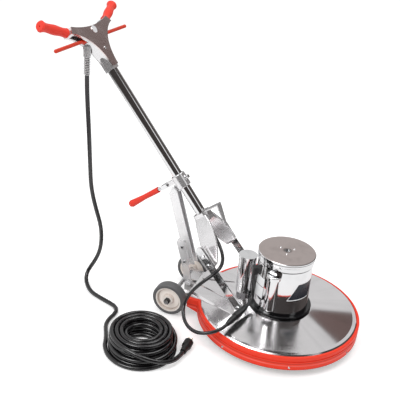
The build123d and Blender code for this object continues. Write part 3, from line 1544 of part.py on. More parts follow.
# Clamp lever: a fork on the collar's lug and a rod behind it.
cheek_inside = clamp_lug_half + side_gap
with BuildPart() as clamp_lever:
    for hand in (-1, 1):
        with BuildSketch(handle_side.offset(hand * cheek_inside)):
            with Locations((clamp_pin_back, clamp_pin_rise)):
                Circle(clamp_pin_radius + 5)
            with Locations(((clamp_pin_back + clamp_rod_start) / 2, clamp_pin_rise)):
                Rectangle(clamp_pin_back - clamp_rod_start, 2 * clamp_pin_radius + 8)
            with Locations((clamp_pin_back, clamp_pin_rise)):
                Circle(clamp_pin_radius + running_gap, mode=Mode.SUBTRACT)
        extrude(amount=hand * clamp_cheek)
    with BuildSketch(handle.offset(clamp_rod_start)):
        with Locations((0, clamp_pin_rise)):
            RectangleRounded(2 * (cheek_inside + clamp_cheek), 2 * clamp_pin_radius + 8, 4)
    extrude(amount=8)
    with BuildSketch(handle.offset(clamp_rod_start)):
        with Locations((0, clamp_pin_rise)):
            Circle(clamp_rod_radius)
    extrude(amount=clamp_grip_end - clamp_rod_start + 12)
clamp_lever.part.label = "clamp_lever"
export_step(clamp_lever.part, "parts/clamp_lever.step")

# Red grip on the clamp lever, wider towards its end.
with BuildPart() as clamp_grip:
    with BuildSketch(handle.offset(clamp_grip_start)):
        with Locations((0, clamp_pin_rise)):
            Circle(clamp_grip_radius)
    with BuildSketch(handle.offset((clamp_grip_start + clamp_grip_end) / 2)):
        with Locations((0, clamp_pin_rise)):
            Circle(clamp_grip_radius * 0.92)
    with BuildSketch(handle.offset(clamp_grip_end + 8)):
        with Locations((0, clamp_pin_rise)):
            Circle(clamp_grip_flare)
    with BuildSketch(handle.offset(clamp_grip_end)):
        with Locations((0, clamp_pin_rise)):
            Circle(clamp_grip_flare * 0.8)
    loft(ruled=True)
    with BuildSketch(handle.offset(clamp_grip_start)):
        with Locations((0, clamp_pin_rise)):
            Circle(clamp_rod_radius + seat_gap)
    extrude(amount=clamp_grip_end - clamp_grip_start + 12 - seat_gap, mode=Mode.SUBTRACT)
clamp_grip.part.label = "clamp_grip"
export_step(clamp_grip.part, "parts/clamp_grip.step")

# Brace channel: hangs from the collar's pin, open towards the tube, with an ear low down.
brace_top = handle_side.from_local_coords(Vector(brace_pin_back, brace_pin_rise, 0))
brace_run = Vector(channel_foot[0], 0, channel_foot[1]) - brace_top
brace_length = brace_run.length
brace_down = brace_run.normalized()
brace_front = Vector(-brace_down.Z, 0, brace_down.X)
# x down the brace from its pin, y to the front of it
brace_plane = Plane(origin=brace_top, x_dir=brace_down, z_dir=(0, -1, 0))
channel_front = 10.0
channel_rear = channel_depth - channel_front
ear_start = brace_length * 0.62
with BuildPart() as brace_channel:
    for hand in (-1, 1):
        ear = ear_reach / 2 if hand > 0 else 0
        with BuildSketch(brace_plane.offset(hand * channel_half_width)):
            Polygon(
                (-12, channel_front - channel_top_cut),
                (-12 + channel_top_cut, channel_front),
                (brace_length, channel_front),
                (brace_length, -channel_rear - ear),
                (ear_start + ear, -channel_rear - ear),
                (ear_start, -channel_rear),
                (10, -channel_rear),
                (-12, -channel_front),
                align=None,
            )
            Circle(brace_pin_radius + running_gap, mode=Mode.SUBTRACT)
        extrude(amount=-hand * channel_wall)
    with BuildSketch(brace_plane.offset(-channel_half_width)):
        with Locations(((brace_length + 16) / 2, -channel_rear + channel_wall / 2)):
            Rectangle(brace_length - 16, channel_wall)
    extrude(amount=2 * channel_half_width)
    for rise in brace_bolt_rise:
        share = (brace_bar_top[1] - rise) / (brace_bar_top[1] - brace_foot[1])
        bolt_x = brace_bar_top[0] + share * (brace_foot[0] - brace_bar_top[0])
        with BuildSketch(Plane.XZ.offset(channel_half_width)):
            with Locations((bolt_x, rise)):
                Circle(brace_bolt_radius + seat_gap)
        extrude(amount=-channel_wall, mode=Mode.SUBTRACT)
brace_channel.part.label = "brace_channel"
export_step(brace_channel.part, "parts/brace_channel.step")

# Brace bar: bolted to the channel's right side, its foot is the open pivot on the carriage.
bar_run = (brace_foot[0] - brace_bar_top[0], brace_foot[1] - brace_bar_top[1])
bar_turn = degrees(atan2(bar_run[1], bar_run[0]))
bar_middle = ((brace_foot[0] + brace_bar_top[0]) / 2, (brace_foot[1] + brace_bar_top[1]) / 2)
with BuildPart() as brace_bar:
    with BuildSketch(Plane.XZ.offset(brace_bar_inside)):
        with Locations(Location((*bar_middle, 0), (0, 0, bar_turn))):
            SlotCenterToCenter(hypot(*bar_run), brace_bar_width)
        with Locations(brace_foot):
            Circle(brace_foot_radius + open_pivot_gap, mode=Mode.SUBTRACT)
        for rise in brace_bolt_rise:
            share = (brace_bar_top[1] - rise) / (brace_bar_top[1] - brace_foot[1])
            with Locations((brace_bar_top[0] + share * bar_run[0], rise)):
                Circle(brace_bolt_radius + seat_gap, mode=Mode.SUBTRACT)
    extrude(amount=brace_bar_thickness)
brace_bar.part.label = "brace_bar"
export_step(brace_bar.part, "parts/brace_bar.step")

# Domed bolts that hold the bar on the channel.
bar_outside = brace_bar_inside + brace_bar_thickness
with BuildPart() as brace_bolts:
    for rise in brace_bolt_rise:
        share = (brace_bar_top[1] - rise) / (brace_bar_top[1] - brace_foot[1])
        bolt_place = (brace_bar_top[0] + share * bar_run[0], rise)
        with BuildSketch(Plane.XZ.offset(bar_outside)):
            with Locations(bolt_place):
                Circle(brace_bolt_head)
        extrude(amount=5, taper=25)
        with BuildSketch(Plane.XZ.offset(bar_outside)):
            with Locations(bolt_place):
                Circle(brace_bolt_radius)
        extrude(amount=-(bar_outside - channel_half_width + channel_wall))
brace_bolts.part.label = "brace_bolts"
export_step(brace_bolts.part, "parts/brace_bolts.step")

# Pivot bolt of the brace on the carriage's ear, with a wide washer under its head.
with BuildPart() as brace_pivot:
    with BuildSketch(Plane.XZ.offset(bar_outside + side_gap)):
        with Locations(brace_foot):
            Circle(brace_bar_width / 2)
    extrude(amount=2)
    with BuildSketch(Plane.XZ.offset(bar_outside + side_gap + 2)):
        with Locations(brace_foot):
            Circle(brace_bolt_head)
    extrude(amount=5, taper=25)
    ear_inside = brace_bar_inside - brace_ear - side_gap
    with BuildSketch(Plane.XZ.offset(bar_outside + side_gap)):
        with Locations(brace_foot):
            Circle(brace_foot_radius)
    extrude(amount=-(bar_outside + side_gap - ear_inside))
    with BuildSketch(Plane.XZ.offset(ear_inside)):
        with Locations(brace_foot):
            RegularPolygon(brace_bolt_head, 6)
    extrude(amount=-4)
brace_pivot.part.label = "brace_pivot"
export_step(brace_pivot.part, "parts/brace_pivot.step")

# Coil of the power cord: a heap of layers wound in and out by turns, narrower towards
# its top and leaning a little, from which the cord's tail runs down its side to the plug.
top_layer = len(coil_layer_turns) - 1


def ease(share):
    """Smooth step from 0 to 1."""
    return share**2 * (3 - 2 * share)


def coil_layer_start(layer):
    """Turns from the coil's start to the start of a layer."""
    return sum(coil_layer_turns[:layer]) + layer * coil_climb


def coil_place(turn):
    """Radius and height of the coil's centre line at a number of turns from its start."""
    layer = top_layer
    while layer > 0 and turn < coil_layer_start(layer) - 1e-9:
        layer -= 1
    turns = coil_layer_turns[layer]
    inner = turn - coil_layer_start(layer)
    height = cord_radius + layer * coil_layer_step
    inward = layer % 2 == 0
    edge = coil_inner_radius if inward else coil_inner_radius + turns * coil_pitch
    sign = 1 if inward else -1
    if inner <= turns + 1e-9:
        return edge + sign * coil_pitch * (turns - inner), height
    late = inner - turns
    if layer == top_layer:
        share = late / coil_tail_turns
        drop = ease(max(0, share - coil_tail_hold) / (1 - coil_tail_hold))
        return edge + (coil_tail_reach - edge) * ease(share), height + (plug_rise - height) * drop
    swing = coil_swing * coil_pitch * late * (late / coil_climb - 1)
    return edge + sign * swing, height + coil_layer_step * ease(late / coil_climb)


def coil_point(turn):
    """World point of the coil's centre line."""
    reach, height = coil_place(turn)
    angle = radians(coil_start_angle + 360 * turn)
    middle_x = coil_centre[0] + coil_lean[0] * (height - cord_radius)
    middle_y = coil_centre[1] + coil_lean[1] * (height - cord_radius)
    return Vector(middle_x + reach * cos(angle), middle_y + reach * sin(angle), height)


def coil_tangent(turn):
    """Direction of the coil's centre line."""
    return (coil_point(turn + 5e-4) - coil_point(turn - 5e-4)).normalized()


coil_stops = []
for layer, turns in enumerate(coil_layer_turns):
    layer_samples = round(3 * turns)
    for step in range(layer_samples + 1):
        coil_stops.append(coil_layer_start(layer) + step * turns / layer_samples)
    if layer < top_layer:
        coil_stops.append(coil_layer_start(layer) + turns + coil_climb / 2)
tail_samples = 8
for step in range(1, tail_samples + 1):
    coil_stops.append(coil_layer_start(top_layer) + turns + step * coil_tail_turns / tail_samples)
coil_points = [coil_point(turn) for turn in coil_stops]
coil_tangents = [coil_tangent(turn) for turn in coil_stops]
coil_tangents[0] = (coil_point(1e-3) - coil_point(0)).normalized()
coil_last = coil_stops[-1]
coil_tangents[-1] = (coil_point(coil_last) - coil_point(coil_last - 1e-3)).normalized()
coil_lead_in = coil_points[0] - coil_tangents[0] * 2 * cord_radius
tail_out = Vector(coil_tangents[-1].X, coil_tangents[-1].Y, 0).normalized()
coil_tangents[-1] = tail_out
plug_back = coil_points[-1] + tail_out * 2 * cord_radius
with BuildPart() as cord_coil:
    with BuildLine() as coil_path:
        Line(coil_lead_in, coil_points[0])
        for arc in biarc_wire(coil_points, coil_tangents):
            add(arc)
        Line(coil_points[-1], plug_back)
    with BuildSketch(Plane(origin=coil_lead_in, z_dir=coil_tangents[0])):
        Circle(cord_radius)
    sweep(path=coil_path.line)
cord_coil.part.label = "cord_coil"
export_step(cord_coil.part, "parts/cord_coil.step")
coil_wire = coil_path.wire()
coil_length = coil_wire.length
coil_samples = [coil_wire.position_at(step / 2400) for step in range(2401)]
near_steps = int(2400 * 6 * cord_radius / coil_length) + 1
print("coil length", round(coil_length), "loops", coil_stops[-1])
print("coil least gap", round(least_gap(coil_samples, near_steps, 2 * cord_radius), 2))
print("coil volume ratio", round(cord_coil.part.volume / (pi * cord_radius**2 * coil_length), 4))

# Plug: a round moulded body with two flat pins and one round earth pin.
plug_plane = Plane(origin=plug_back, x_dir=Vector(0, 0, 1).cross(tail_out), z_dir=tail_out)
with BuildPart() as plug_body:
    with BuildSketch(plug_plane):
        Circle(plug_radius * 0.65)
    with BuildSketch(plug_plane.offset(plug_length * 0.4)):
        Circle(plug_radius * 0.75)
    with BuildSketch(plug_plane.offset(plug_length * 0.55)):
        Circle(plug_radius)
    with BuildSketch(plug_plane.offset(plug_length)):
        Circle(plug_radius)
    loft(ruled=True)
plug_body.part.label = "plug_body"
export_step(plug_body.part, "parts/plug_body.step")

# Pins of the plug.
with BuildPart() as plug_pins:
    with BuildSketch(plug_plane.offset(plug_length)):
        with Locations((-plug_pin_spacing / 2, 3), (plug_pin_spacing / 2, 3)):
            Rectangle(plug_pin_size[1], plug_pin_size[0])
        with Locations((0, -plug_pin_spacing / 2)):
            Circle(earth_pin_radius)
    extrude(amount=plug_pin_length)
plug_pins.part.label = "plug_pins"
export_step(plug_pins.part, "parts/plug_pins.step")

# Power cord from its gland down to the floor and along it to the coil.
cord_top = Vector(gland_x, gland_across, gland_bottom)
cord_below_guard = cord_top - Vector(0, 0, guard_length + 3 * cord_radius)
coil_approach = coil_lead_in - coil_tangents[0] * coil_approach_run
cord_route = [cord_top, cord_below_guard]
for forward, left, share in cord_hanging_points:
    cord_route.append(Vector(gland_x + forward, gland_across + left, share * gland_bottom))
cord_route += [Vector(*point) for point in cord_floor_points]
cord_route += [coil_approach, coil_lead_in]
with BuildPart() as power_cord:
    with BuildLine() as cord_path:
        FilletPolyline(*cord_route, radius=round_radii(cord_route))
    with BuildSketch(Plane(origin=cord_top, z_dir=(0, 0, -1))):
        Circle(cord_radius)
    sweep(path=cord_path.line)
power_cord.part.label = "power_cord"
export_step(power_cord.part, "parts/power_cord.step")
report_route("power cord", cord_route, cord_radius, power_cord.part)

# Motor lead from the yoke's socket, hanging in a bow beside the wheel, to its connector.
lead_exit = on_handle(0, socket_bottom, 0)
connector_front_point = Vector(*connector_front)
connector_back_point = Vector(*connector_back)
connector_out = (connector_front_point - connector_back_point).normalized()
lead_route = [lead_exit]
lead_route += [on_handle(*place) for place in lead_handle_points]
lead_route += [Vector(*point) for point in lead_points]
lead_route += [connector_back_point - connector_out * connector_approach, connector_back_point]
with BuildPart() as motor_lead:
    with BuildLine() as lead_path:
        FilletPolyline(*lead_route, radius=round_radii(lead_route))
    with BuildSketch(Plane(origin=lead_exit, z_dir=-up_tube)):
        Circle(lead_radius)
    sweep(path=lead_path.line)
motor_lead.part.label = "motor_lead"
export_step(motor_lead.part, "parts/motor_lead.step")
report_route("motor lead", lead_route, lead_radius, motor_lead.part)

# Connector in the motor lead, with a twist-lock ring in its middle.
connector_plane = Plane(origin=connector_back_point, z_dir=connector_out)
connector_length = (connector_front_point - connector_back_point).length
with BuildPart() as lead_connector:
    with BuildSketch(connector_plane):
        Circle(connector_end_radius)
    with BuildSketch(connector_plane.offset(connector_length * 0.2)):
        Circle(connector_radius)
    with BuildSketch(connector_plane.offset(connector_length * 0.8)):
        Circle(connector_radius)
    with BuildSketch(connector_plane.offset(connector_length)):
        Circle(connector_end_radius)
    loft(ruled=True)
    with BuildSketch(connector_plane.offset(connector_length * 0.4)):
        Circle(connector_radius + connector_ring)
    extrude(amount=connector_length * 0.22)
lead_connector.part.label = "lead_connector"
export_step(lead_connector.part, "parts/lead_connector.step")

# Short end of the lead, from the connector up to the terminal housing.
lead_end_route = [connector_front_point, connector_front_point + connector_out * lead_end_leave]
lead_end_route += [terminal_entry - Vector(0, 0, lead_end_rise), terminal_entry]
with BuildPart() as lead_end:
    with BuildLine() as lead_end_path:
        FilletPolyline(*lead_end_route, radius=round_radii(lead_end_route))
    with BuildSketch(Plane(origin=connector_front_point, z_dir=connector_out)):
        Circle(lead_radius)
    sweep(path=lead_end_path.line)
lead_end.part.label = "lead_end"
export_step(lead_end.part, "parts/lead_end.step")
report_route("lead end", lead_end_route, lead_radius, lead_end.part)
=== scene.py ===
"""Looks of a walk-behind floor burnisher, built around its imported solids."""

import logging
import math
from dataclasses import dataclass, field
from enum import Enum
from functools import reduce
from typing import Any, Dict, List, Optional, Sequence, Tuple, Union

import bpy
from mathutils import Matrix, Vector


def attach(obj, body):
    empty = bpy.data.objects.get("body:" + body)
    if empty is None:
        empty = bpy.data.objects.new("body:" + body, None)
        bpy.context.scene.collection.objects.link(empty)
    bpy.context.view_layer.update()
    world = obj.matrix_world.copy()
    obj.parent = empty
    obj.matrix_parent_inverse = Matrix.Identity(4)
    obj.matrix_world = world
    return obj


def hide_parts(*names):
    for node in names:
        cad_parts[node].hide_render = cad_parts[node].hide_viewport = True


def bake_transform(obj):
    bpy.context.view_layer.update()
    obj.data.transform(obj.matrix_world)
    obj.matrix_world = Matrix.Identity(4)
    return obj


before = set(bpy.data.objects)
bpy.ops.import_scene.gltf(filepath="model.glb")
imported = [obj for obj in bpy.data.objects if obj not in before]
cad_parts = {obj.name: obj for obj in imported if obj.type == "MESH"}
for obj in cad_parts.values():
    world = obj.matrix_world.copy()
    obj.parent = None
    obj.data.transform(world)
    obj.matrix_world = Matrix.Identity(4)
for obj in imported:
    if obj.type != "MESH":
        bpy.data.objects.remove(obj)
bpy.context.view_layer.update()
LOG = logging.getLogger("burnisher")

Point = Tuple[float, float, float]
Colour = Tuple[float, float, float]
Number = Union[float, "Value"]


class FarEnd(Enum):
    """What a cord's far end is."""

    PLUG = "plug"
    CONNECTOR = "connector"
    OBJECT = "object"


class Lay(Enum):
    """How a cord lies."""

    COILED = "coiled"
    HANGING = "hanging"


class Value:
    """A number socket of a material that takes part in Python arithmetic."""

    def __init__(self, shader: "Shader", socket: bpy.types.NodeSocket) -> None:
        """Keep the socket and the shader it belongs to.

        Args:
            shader: Node tree that new Math nodes go into.
            socket: Output socket that holds the number.
        """
        self.shader = shader
        self.socket = socket

    def _math(self, operation: str, *values: Number) -> "Value":
        """Add one Math node.

        Args:
            operation: Blender's name of the operation.
            values: Operands in order.

        Returns:
            The result.
        """
        node = self.shader.node("ShaderNodeMath", {"operation": operation}, dict(enumerate(values)))
        return Value(self.shader, node.outputs[0])

    def __add__(self, other: Number) -> "Value":
        """Sum."""
        return self._math("ADD", self, other)

    __radd__ = __add__

    def __sub__(self, other: Number) -> "Value":
        """Difference."""
        return self._math("SUBTRACT", self, other)

    def __rsub__(self, other: Number) -> "Value":
        """Difference from a number."""
        return self._math("SUBTRACT", other, self)

    def __mul__(self, other: Number) -> "Value":
        """Product."""
        return self._math("MULTIPLY", self, other)

    __rmul__ = __mul__

    def __truediv__(self, other: Number) -> "Value":
        """Quotient."""
        return self._math("DIVIDE", self, other)

    def __pow__(self, other: Number) -> "Value":
        """Power."""
        return self._math("POWER", self, other)

    def root(self) -> "Value":
        """Square root."""
        return self._math("SQRT", self)

    def size(self) -> "Value":
        """Absolute value."""
        return self._math("ABSOLUTE", self)

    def turn_from(self, other: Number) -> "Value":
        """Angle whose tangent is this value over the other, in radians."""
        return self._math("ARCTAN2", self, other)

    def most(self, other: Number) -> "Value":
        """Larger of two."""
        return self._math("MAXIMUM", self, other)

    def near(self, middle: float, inner: float, outer: float) -> "Value":
        """1 close to a number, falling to 0 away from it.

        Args:
            middle: The number.
            inner: Distance up to which the result is 1.
            outer: Distance from which the result is 0.

        Returns:
            The nearness, between 0 and 1.
        """
        return 1 - (self - middle).size().step(inner, outer)

    def step(self, low: float, high: float) -> "Value":
        """Smooth step from 0 at low to 1 at high.

        Args:
            low: Value that gives 0.
            high: Value that gives 1.

        Returns:
            The step, held between 0 and 1.
        """
        node = self.shader.node(
            "ShaderNodeMapRange",
            {"interpolation_type": "SMOOTHSTEP", "clamp": True},
            {"Value": self, "From Min": low, "From Max": high},
        )
        return Value(self.shader, node.outputs[0])


@dataclass(frozen=True)
class Grain:
    """A noise pattern: cells a metre or a radian, octaves, and the band that is spread to 0 and 1."""

    scale: float
    detail: float
    band: Optional[Tuple[float, float]] = None

    def cut(self, noise: Value) -> Value:
        """Spread the band, if there is one."""
        return noise if self.band is None else noise.step(*self.band)


class Shader:
    """Node tree of one material or of the world."""

    def __init__(self, owner: Union[bpy.types.Material, bpy.types.World]) -> None:
        """Clear the owner's nodes and keep its tree.

        Args:
            owner: Material or world whose nodes are built.
        """
        owner.use_nodes = True
        self.tree = owner.node_tree
        self.tree.nodes.clear()

    def node(
        self,
        kind: str,
        settings: Optional[Dict[str, Any]] = None,
        inputs: Optional[Dict[Union[int, str], Any]] = None,
    ) -> bpy.types.Node:
        """Add a node, set it up and fill its sockets.

        Args:
            kind: Blender's type name of the node.
            settings: Properties that are set first.
            inputs: Socket names or numbers with a value, a Value or a socket each.

        Returns:
            The new node.
        """
        made = self.tree.nodes.new(kind)
        for name, value in (settings or {}).items():
            setattr(made, name, value)
        for name, value in (inputs or {}).items():
            if isinstance(value, Value):
                self.tree.links.new(value.socket, made.inputs[name])
            elif isinstance(value, bpy.types.NodeSocket):
                self.tree.links.new(value, made.inputs[name])
            else:
                made.inputs[name].default_value = value
        return made

    def place(self) -> bpy.types.NodeSocket:
        """Object coordinates of the shaded point."""
        return self.node("ShaderNodeTexCoord").outputs["Object"]

    def axes(self, vector: bpy.types.NodeSocket) -> Tuple[Value, Value, Value]:
        """Split a vector into its three numbers.

        Args:
            vector: Vector socket.

        Returns:
            The X, Y and Z numbers.
        """
        parts = self.node("ShaderNodeSeparateXYZ", None, {0: vector}).outputs
        return Value(self, parts[0]), Value(self, parts[1]), Value(self, parts[2])

    def stretch(self, vector: bpy.types.NodeSocket, scale: Point) -> bpy.types.NodeSocket:
        """Scale a vector.

        Args:
            vector: Vector socket.
            scale: Factor on each axis.

        Returns:
            The changed vector.
        """
        return self.node("ShaderNodeMapping", None, {"Vector": vector, "Scale": scale}).outputs[0]

    def noise(self, vector: bpy.types.NodeSocket, grain: Grain) -> Value:
        """Soft noise between 0 and 1.

        Args:
            vector: Where the noise is read.
            grain: The pattern.

        Returns:
            The noise value.
        """
        inputs = {"Vector": vector, "Scale": grain.scale, "Detail": grain.detail}
        node = self.node("ShaderNodeTexNoise", None, inputs)
        return grain.cut(Value(self, node.outputs[0]))

    def line_noise(self, along: Value, grain: Grain) -> Value:
        """Noise that changes with one number only.

        Args:
            along: The number.
            grain: The pattern.

        Returns:
            The noise value.
        """
        inputs = {"W": along, "Scale": grain.scale, "Detail": grain.detail}
        node = self.node("ShaderNodeTexNoise", {"noise_dimensions": "1D"}, inputs)
        return grain.cut(Value(self, node.outputs[0]))

    def mix(self, share: Number, first: Any, second: Any) -> bpy.types.NodeSocket:
        """Mix two colours.

        Args:
            share: How much of the second colour.
            first: Colour tuple or socket.
            second: Colour tuple or socket.

        Returns:
            The mixed colour.
        """
        ends = [(*c, 1.0) if isinstance(c, tuple) else c for c in (first, second)]
        node = self.node(
            "ShaderNodeMix", {"data_type": "RGBA"}, {0: share, 6: ends[0], 7: ends[1]}
        )
        return node.outputs[2]

    def bump(self, height: Value, strength: float, distance: float) -> bpy.types.NodeSocket:
        """Turn a height into a normal.

        Args:
            height: Height between 0 and 1.
            strength: Share of the effect.
            distance: Height in metres that 1 stands for.

        Returns:
            The normal.
        """
        node = self.node(
            "ShaderNodeBump", None, {"Height": height, "Strength": strength, "Distance": distance}
        )
        return node.outputs[0]

    def surface(self, inputs: Dict[str, Any]) -> None:
        """Finish the tree with a Principled surface.

        Args:
            inputs: Sockets of the Principled node.
        """
        body = self.node("ShaderNodeBsdfPrincipled", None, inputs)
        self.node("ShaderNodeOutputMaterial", None, {0: body.outputs[0]})


def shaded(colour: Colour, share: float) -> Colour:
    """A darker tone of a colour.

    Args:
        colour: The colour.
        share: How much of each channel stays.

    Returns:
        The darker colour.
    """
    return tuple(channel * share for channel in colour)


@dataclass(frozen=True)
class Finish:
    """A named surface finish; each kind fills in its own nodes."""

    name: str
    colour: Colour

    def make(self) -> bpy.types.Material:
        """Build the material, or return it if it was built before.

        Returns:
            The material.
        """
        found = bpy.data.materials.get(self.name)
        if found is not None:
            return found
        material = bpy.data.materials.new(self.name)
        material.diffuse_color = (*self.colour, 1.0)
        self.fill(Shader(material))
        return material

    def fill(self, shader: Shader) -> None:
        """Fill the node tree.

        Args:
            shader: Empty tree of the new material.
        """
        raise NotImplementedError


@dataclass(frozen=True)
class PolishedMetal(Finish):
    """Bright plated or polished metal with faint smudges and a little waviness."""

    roughness: float = 0.06
    smudge: float = 0.08
    ripple: float = 0.0006
    film_grain: Grain = Grain(26.0, 5.0, (0.45, 0.75))
    fine_grain: Grain = Grain(900.0, 2.0)
    sheet_grain: Grain = Grain(9.0, 1.0)

    def fill(self, shader: Shader) -> None:
        """Fill the node tree.

        Args:
            shader: Empty tree of the new material.
        """
        place = shader.place()
        film = shader.noise(place, self.film_grain)
        fine = shader.noise(shader.stretch(place, (1.0, 1.0, 0.12)), self.fine_grain)
        sheet = shader.noise(place, self.sheet_grain)
        darker = shaded(self.colour, 0.86)
        shader.surface(
            {
                "Base Color": shader.mix(film * 0.5, self.colour, darker),
                "Metallic": 1.0,
                "Roughness": film * self.smudge + fine * 0.02 + self.roughness,
                "Normal": shader.bump(sheet, 0.35, self.ripple),
            }
        )


@dataclass(frozen=True)
class BadgedPlate(Finish):
    """Brown mirror plate with a bare pale badge."""

    roughness: float = 0.2
    badge_place: Point = (-0.7924, 0.0, 0.9817)
    badge_radius: float = 0.0145
    badge_blur: float = 0.0008
    badge_colour: Colour = (0.86, 0.86, 0.88)
    film_grain: Grain = Grain(26.0, 5.0, (0.45, 0.75))
    fine_grain: Grain = Grain(900.0, 2.0)

    def fill(self, shader: Shader) -> None:
        """Fill the node tree.

        Args:
            shader: Empty tree of the new material.
        """
        place = shader.place()
        film = shader.noise(place, self.film_grain)
        fine = shader.noise(place, self.fine_grain)
        away = [along - middle for along, middle in zip(shader.axes(place), self.badge_place)]
        reach = reduce(Value.__add__, [part * part for part in away]).root()
        badge = 1 - reach.step(self.badge_radius - self.badge_blur, self.badge_radius)
        darker = shaded(self.colour, 0.86)
        plate = shader.mix(film * 0.5, self.colour, darker)
        shader.surface(
            {
                "Base Color": shader.mix(badge, plate, self.badge_colour),
                "Metallic": 1 - badge * 0.6,
                "Roughness": film * 0.08 + fine * 0.02 + badge * 0.1 + self.roughness,
                "Normal": shader.bump(fine, 0.2, 0.00005),
            }
        )


@dataclass(frozen=True)
class SpunMetal(Finish):
    """Metal turned in rings about the motor's axis, one sector buffed bright, its colour darkened by
    random stains and by painted reflection streaks fanning out by azimuth; angles in radians.
    """

    roughness: float = 0.16
    ring_depth: float = 0.00004
    stain_and_fan_share: float = 0.25
    buffed_from: float = -0.75
    buffed_to: float = 1.3
    fade_outside: float = 0.3
    fade_inside: float = 0.1
    buffing: float = 0.93
    cloud_grain: Grain = Grain(7.0, 4.0, (0.35, 0.75))
    rings_grain: Grain = Grain(1400.0, 5.0)
    broad_grain: Grain = Grain(60.0, 3.0)
    # Grain of the painted reflection streaks, by azimuth.
    painted_fans_grain: Grain = Grain(3.2, 3.0, (0.38, 0.68))

    def fill(self, shader: Shader) -> None:
        """Fill the node tree.

        Args:
            shader: Empty tree of the new material.
        """
        place = shader.place()
        x, y, z = shader.axes(place)
        reach = (x * x + y * y).root()
        rings = shader.line_noise(reach + z * 0.4, self.rings_grain)
        broad = shader.line_noise(reach, self.broad_grain)
        cloud = shader.noise(place, self.cloud_grain)
        around = y.turn_from(x)
        # Painted reflection: radial fan streaks by azimuth that darken the colour in sectors.
        painted_fans = shader.line_noise(around, self.painted_fans_grain)
        begun = around.step(
            self.buffed_from - self.fade_outside, self.buffed_from + self.fade_inside
        )
        ended = around.step(self.buffed_to - self.fade_inside, self.buffed_to + self.fade_outside)
        buffed = begun * (1 - ended)
        dull = 1 - buffed * self.buffing
        darker = shaded(self.colour, 0.7)
        # Random stains and turning rings, together with the painted reflection streaks.
        stain_and_painted_fans = (cloud * 0.4 + rings * 0.4 + painted_fans * 0.5) * self.stain_and_fan_share
        shader.surface(
            {
                "Base Color": shader.mix(stain_and_painted_fans, self.colour, darker),
                "Metallic": 1.0,
                "Roughness": (rings * 0.10 + broad * 0.06 + cloud * 0.05) * dull
                + (self.roughness - 0.1),
                "Normal": shader.bump((rings + broad * 0.6) * dull, 0.5, self.ring_depth),
            }
        )


@dataclass(frozen=True)
class CapMetal(Finish):
    """Motor cap: a brushed top inside a polished band, with a painted shade line round the band under
    the top rim.
    """

    top_height: float = 0.3175
    # Height of the painted shade line under the top rim.
    line_height: float = 0.3115
    line_reach: Tuple[float, float] = (0.0008, 0.0016)
    centre_ring: Tuple[float, float] = (0.009, 0.017)
    edge_blur: float = 0.001
    groove_blur: float = 0.003
    band_colour: Colour = (0.80, 0.80, 0.81)
    centre_colour: Colour = (0.72, 0.60, 0.42)
    film_grain: Grain = Grain(24.0, 4.0, (0.4, 0.8))
    rings_grain: Grain = Grain(1600.0, 4.0)

    def fill(self, shader: Shader) -> None:
        """Fill the node tree.

        Args:
            shader: Empty tree of the new material.
        """
        place = shader.place()
        x, y, z = shader.axes(place)
        top = z.step(self.top_height, self.top_height + self.edge_blur)
        reach = (x * x + y * y).root()
        rings = shader.line_noise(reach, self.rings_grain)
        film = shader.noise(place, self.film_grain)
        tarnish = shaded(self.colour, 0.72)
        low, high = self.centre_ring
        past_centre = reach.step(low - self.edge_blur, low + self.edge_blur)
        dark_band = past_centre * (1 - reach.step(high - self.groove_blur, high + self.groove_blur))
        brushed = shader.mix(film * 0.5 + rings * 0.3, self.colour, tarnish)
        brushed = shader.mix(dark_band * 0.65, brushed, shaded(self.colour, 0.3))
        brushed = shader.mix(1 - past_centre, brushed, self.centre_colour)
        # Painted shade: a dark line round the band under the cap's top rim.
        line = z.near(self.line_height, *self.line_reach)
        band = shader.mix(line * 0.9, self.band_colour, shaded(self.band_colour, 0.1))
        shader.surface(
            {
                "Base Color": shader.mix(top, band, brushed),
                "Metallic": 1.0,
                "Roughness": top * (rings * 0.12 + film * 0.06 + 0.24) + film * 0.05 + 0.06,
                "Normal": shader.bump(rings * top, 0.5, 0.00005),
            }
        )


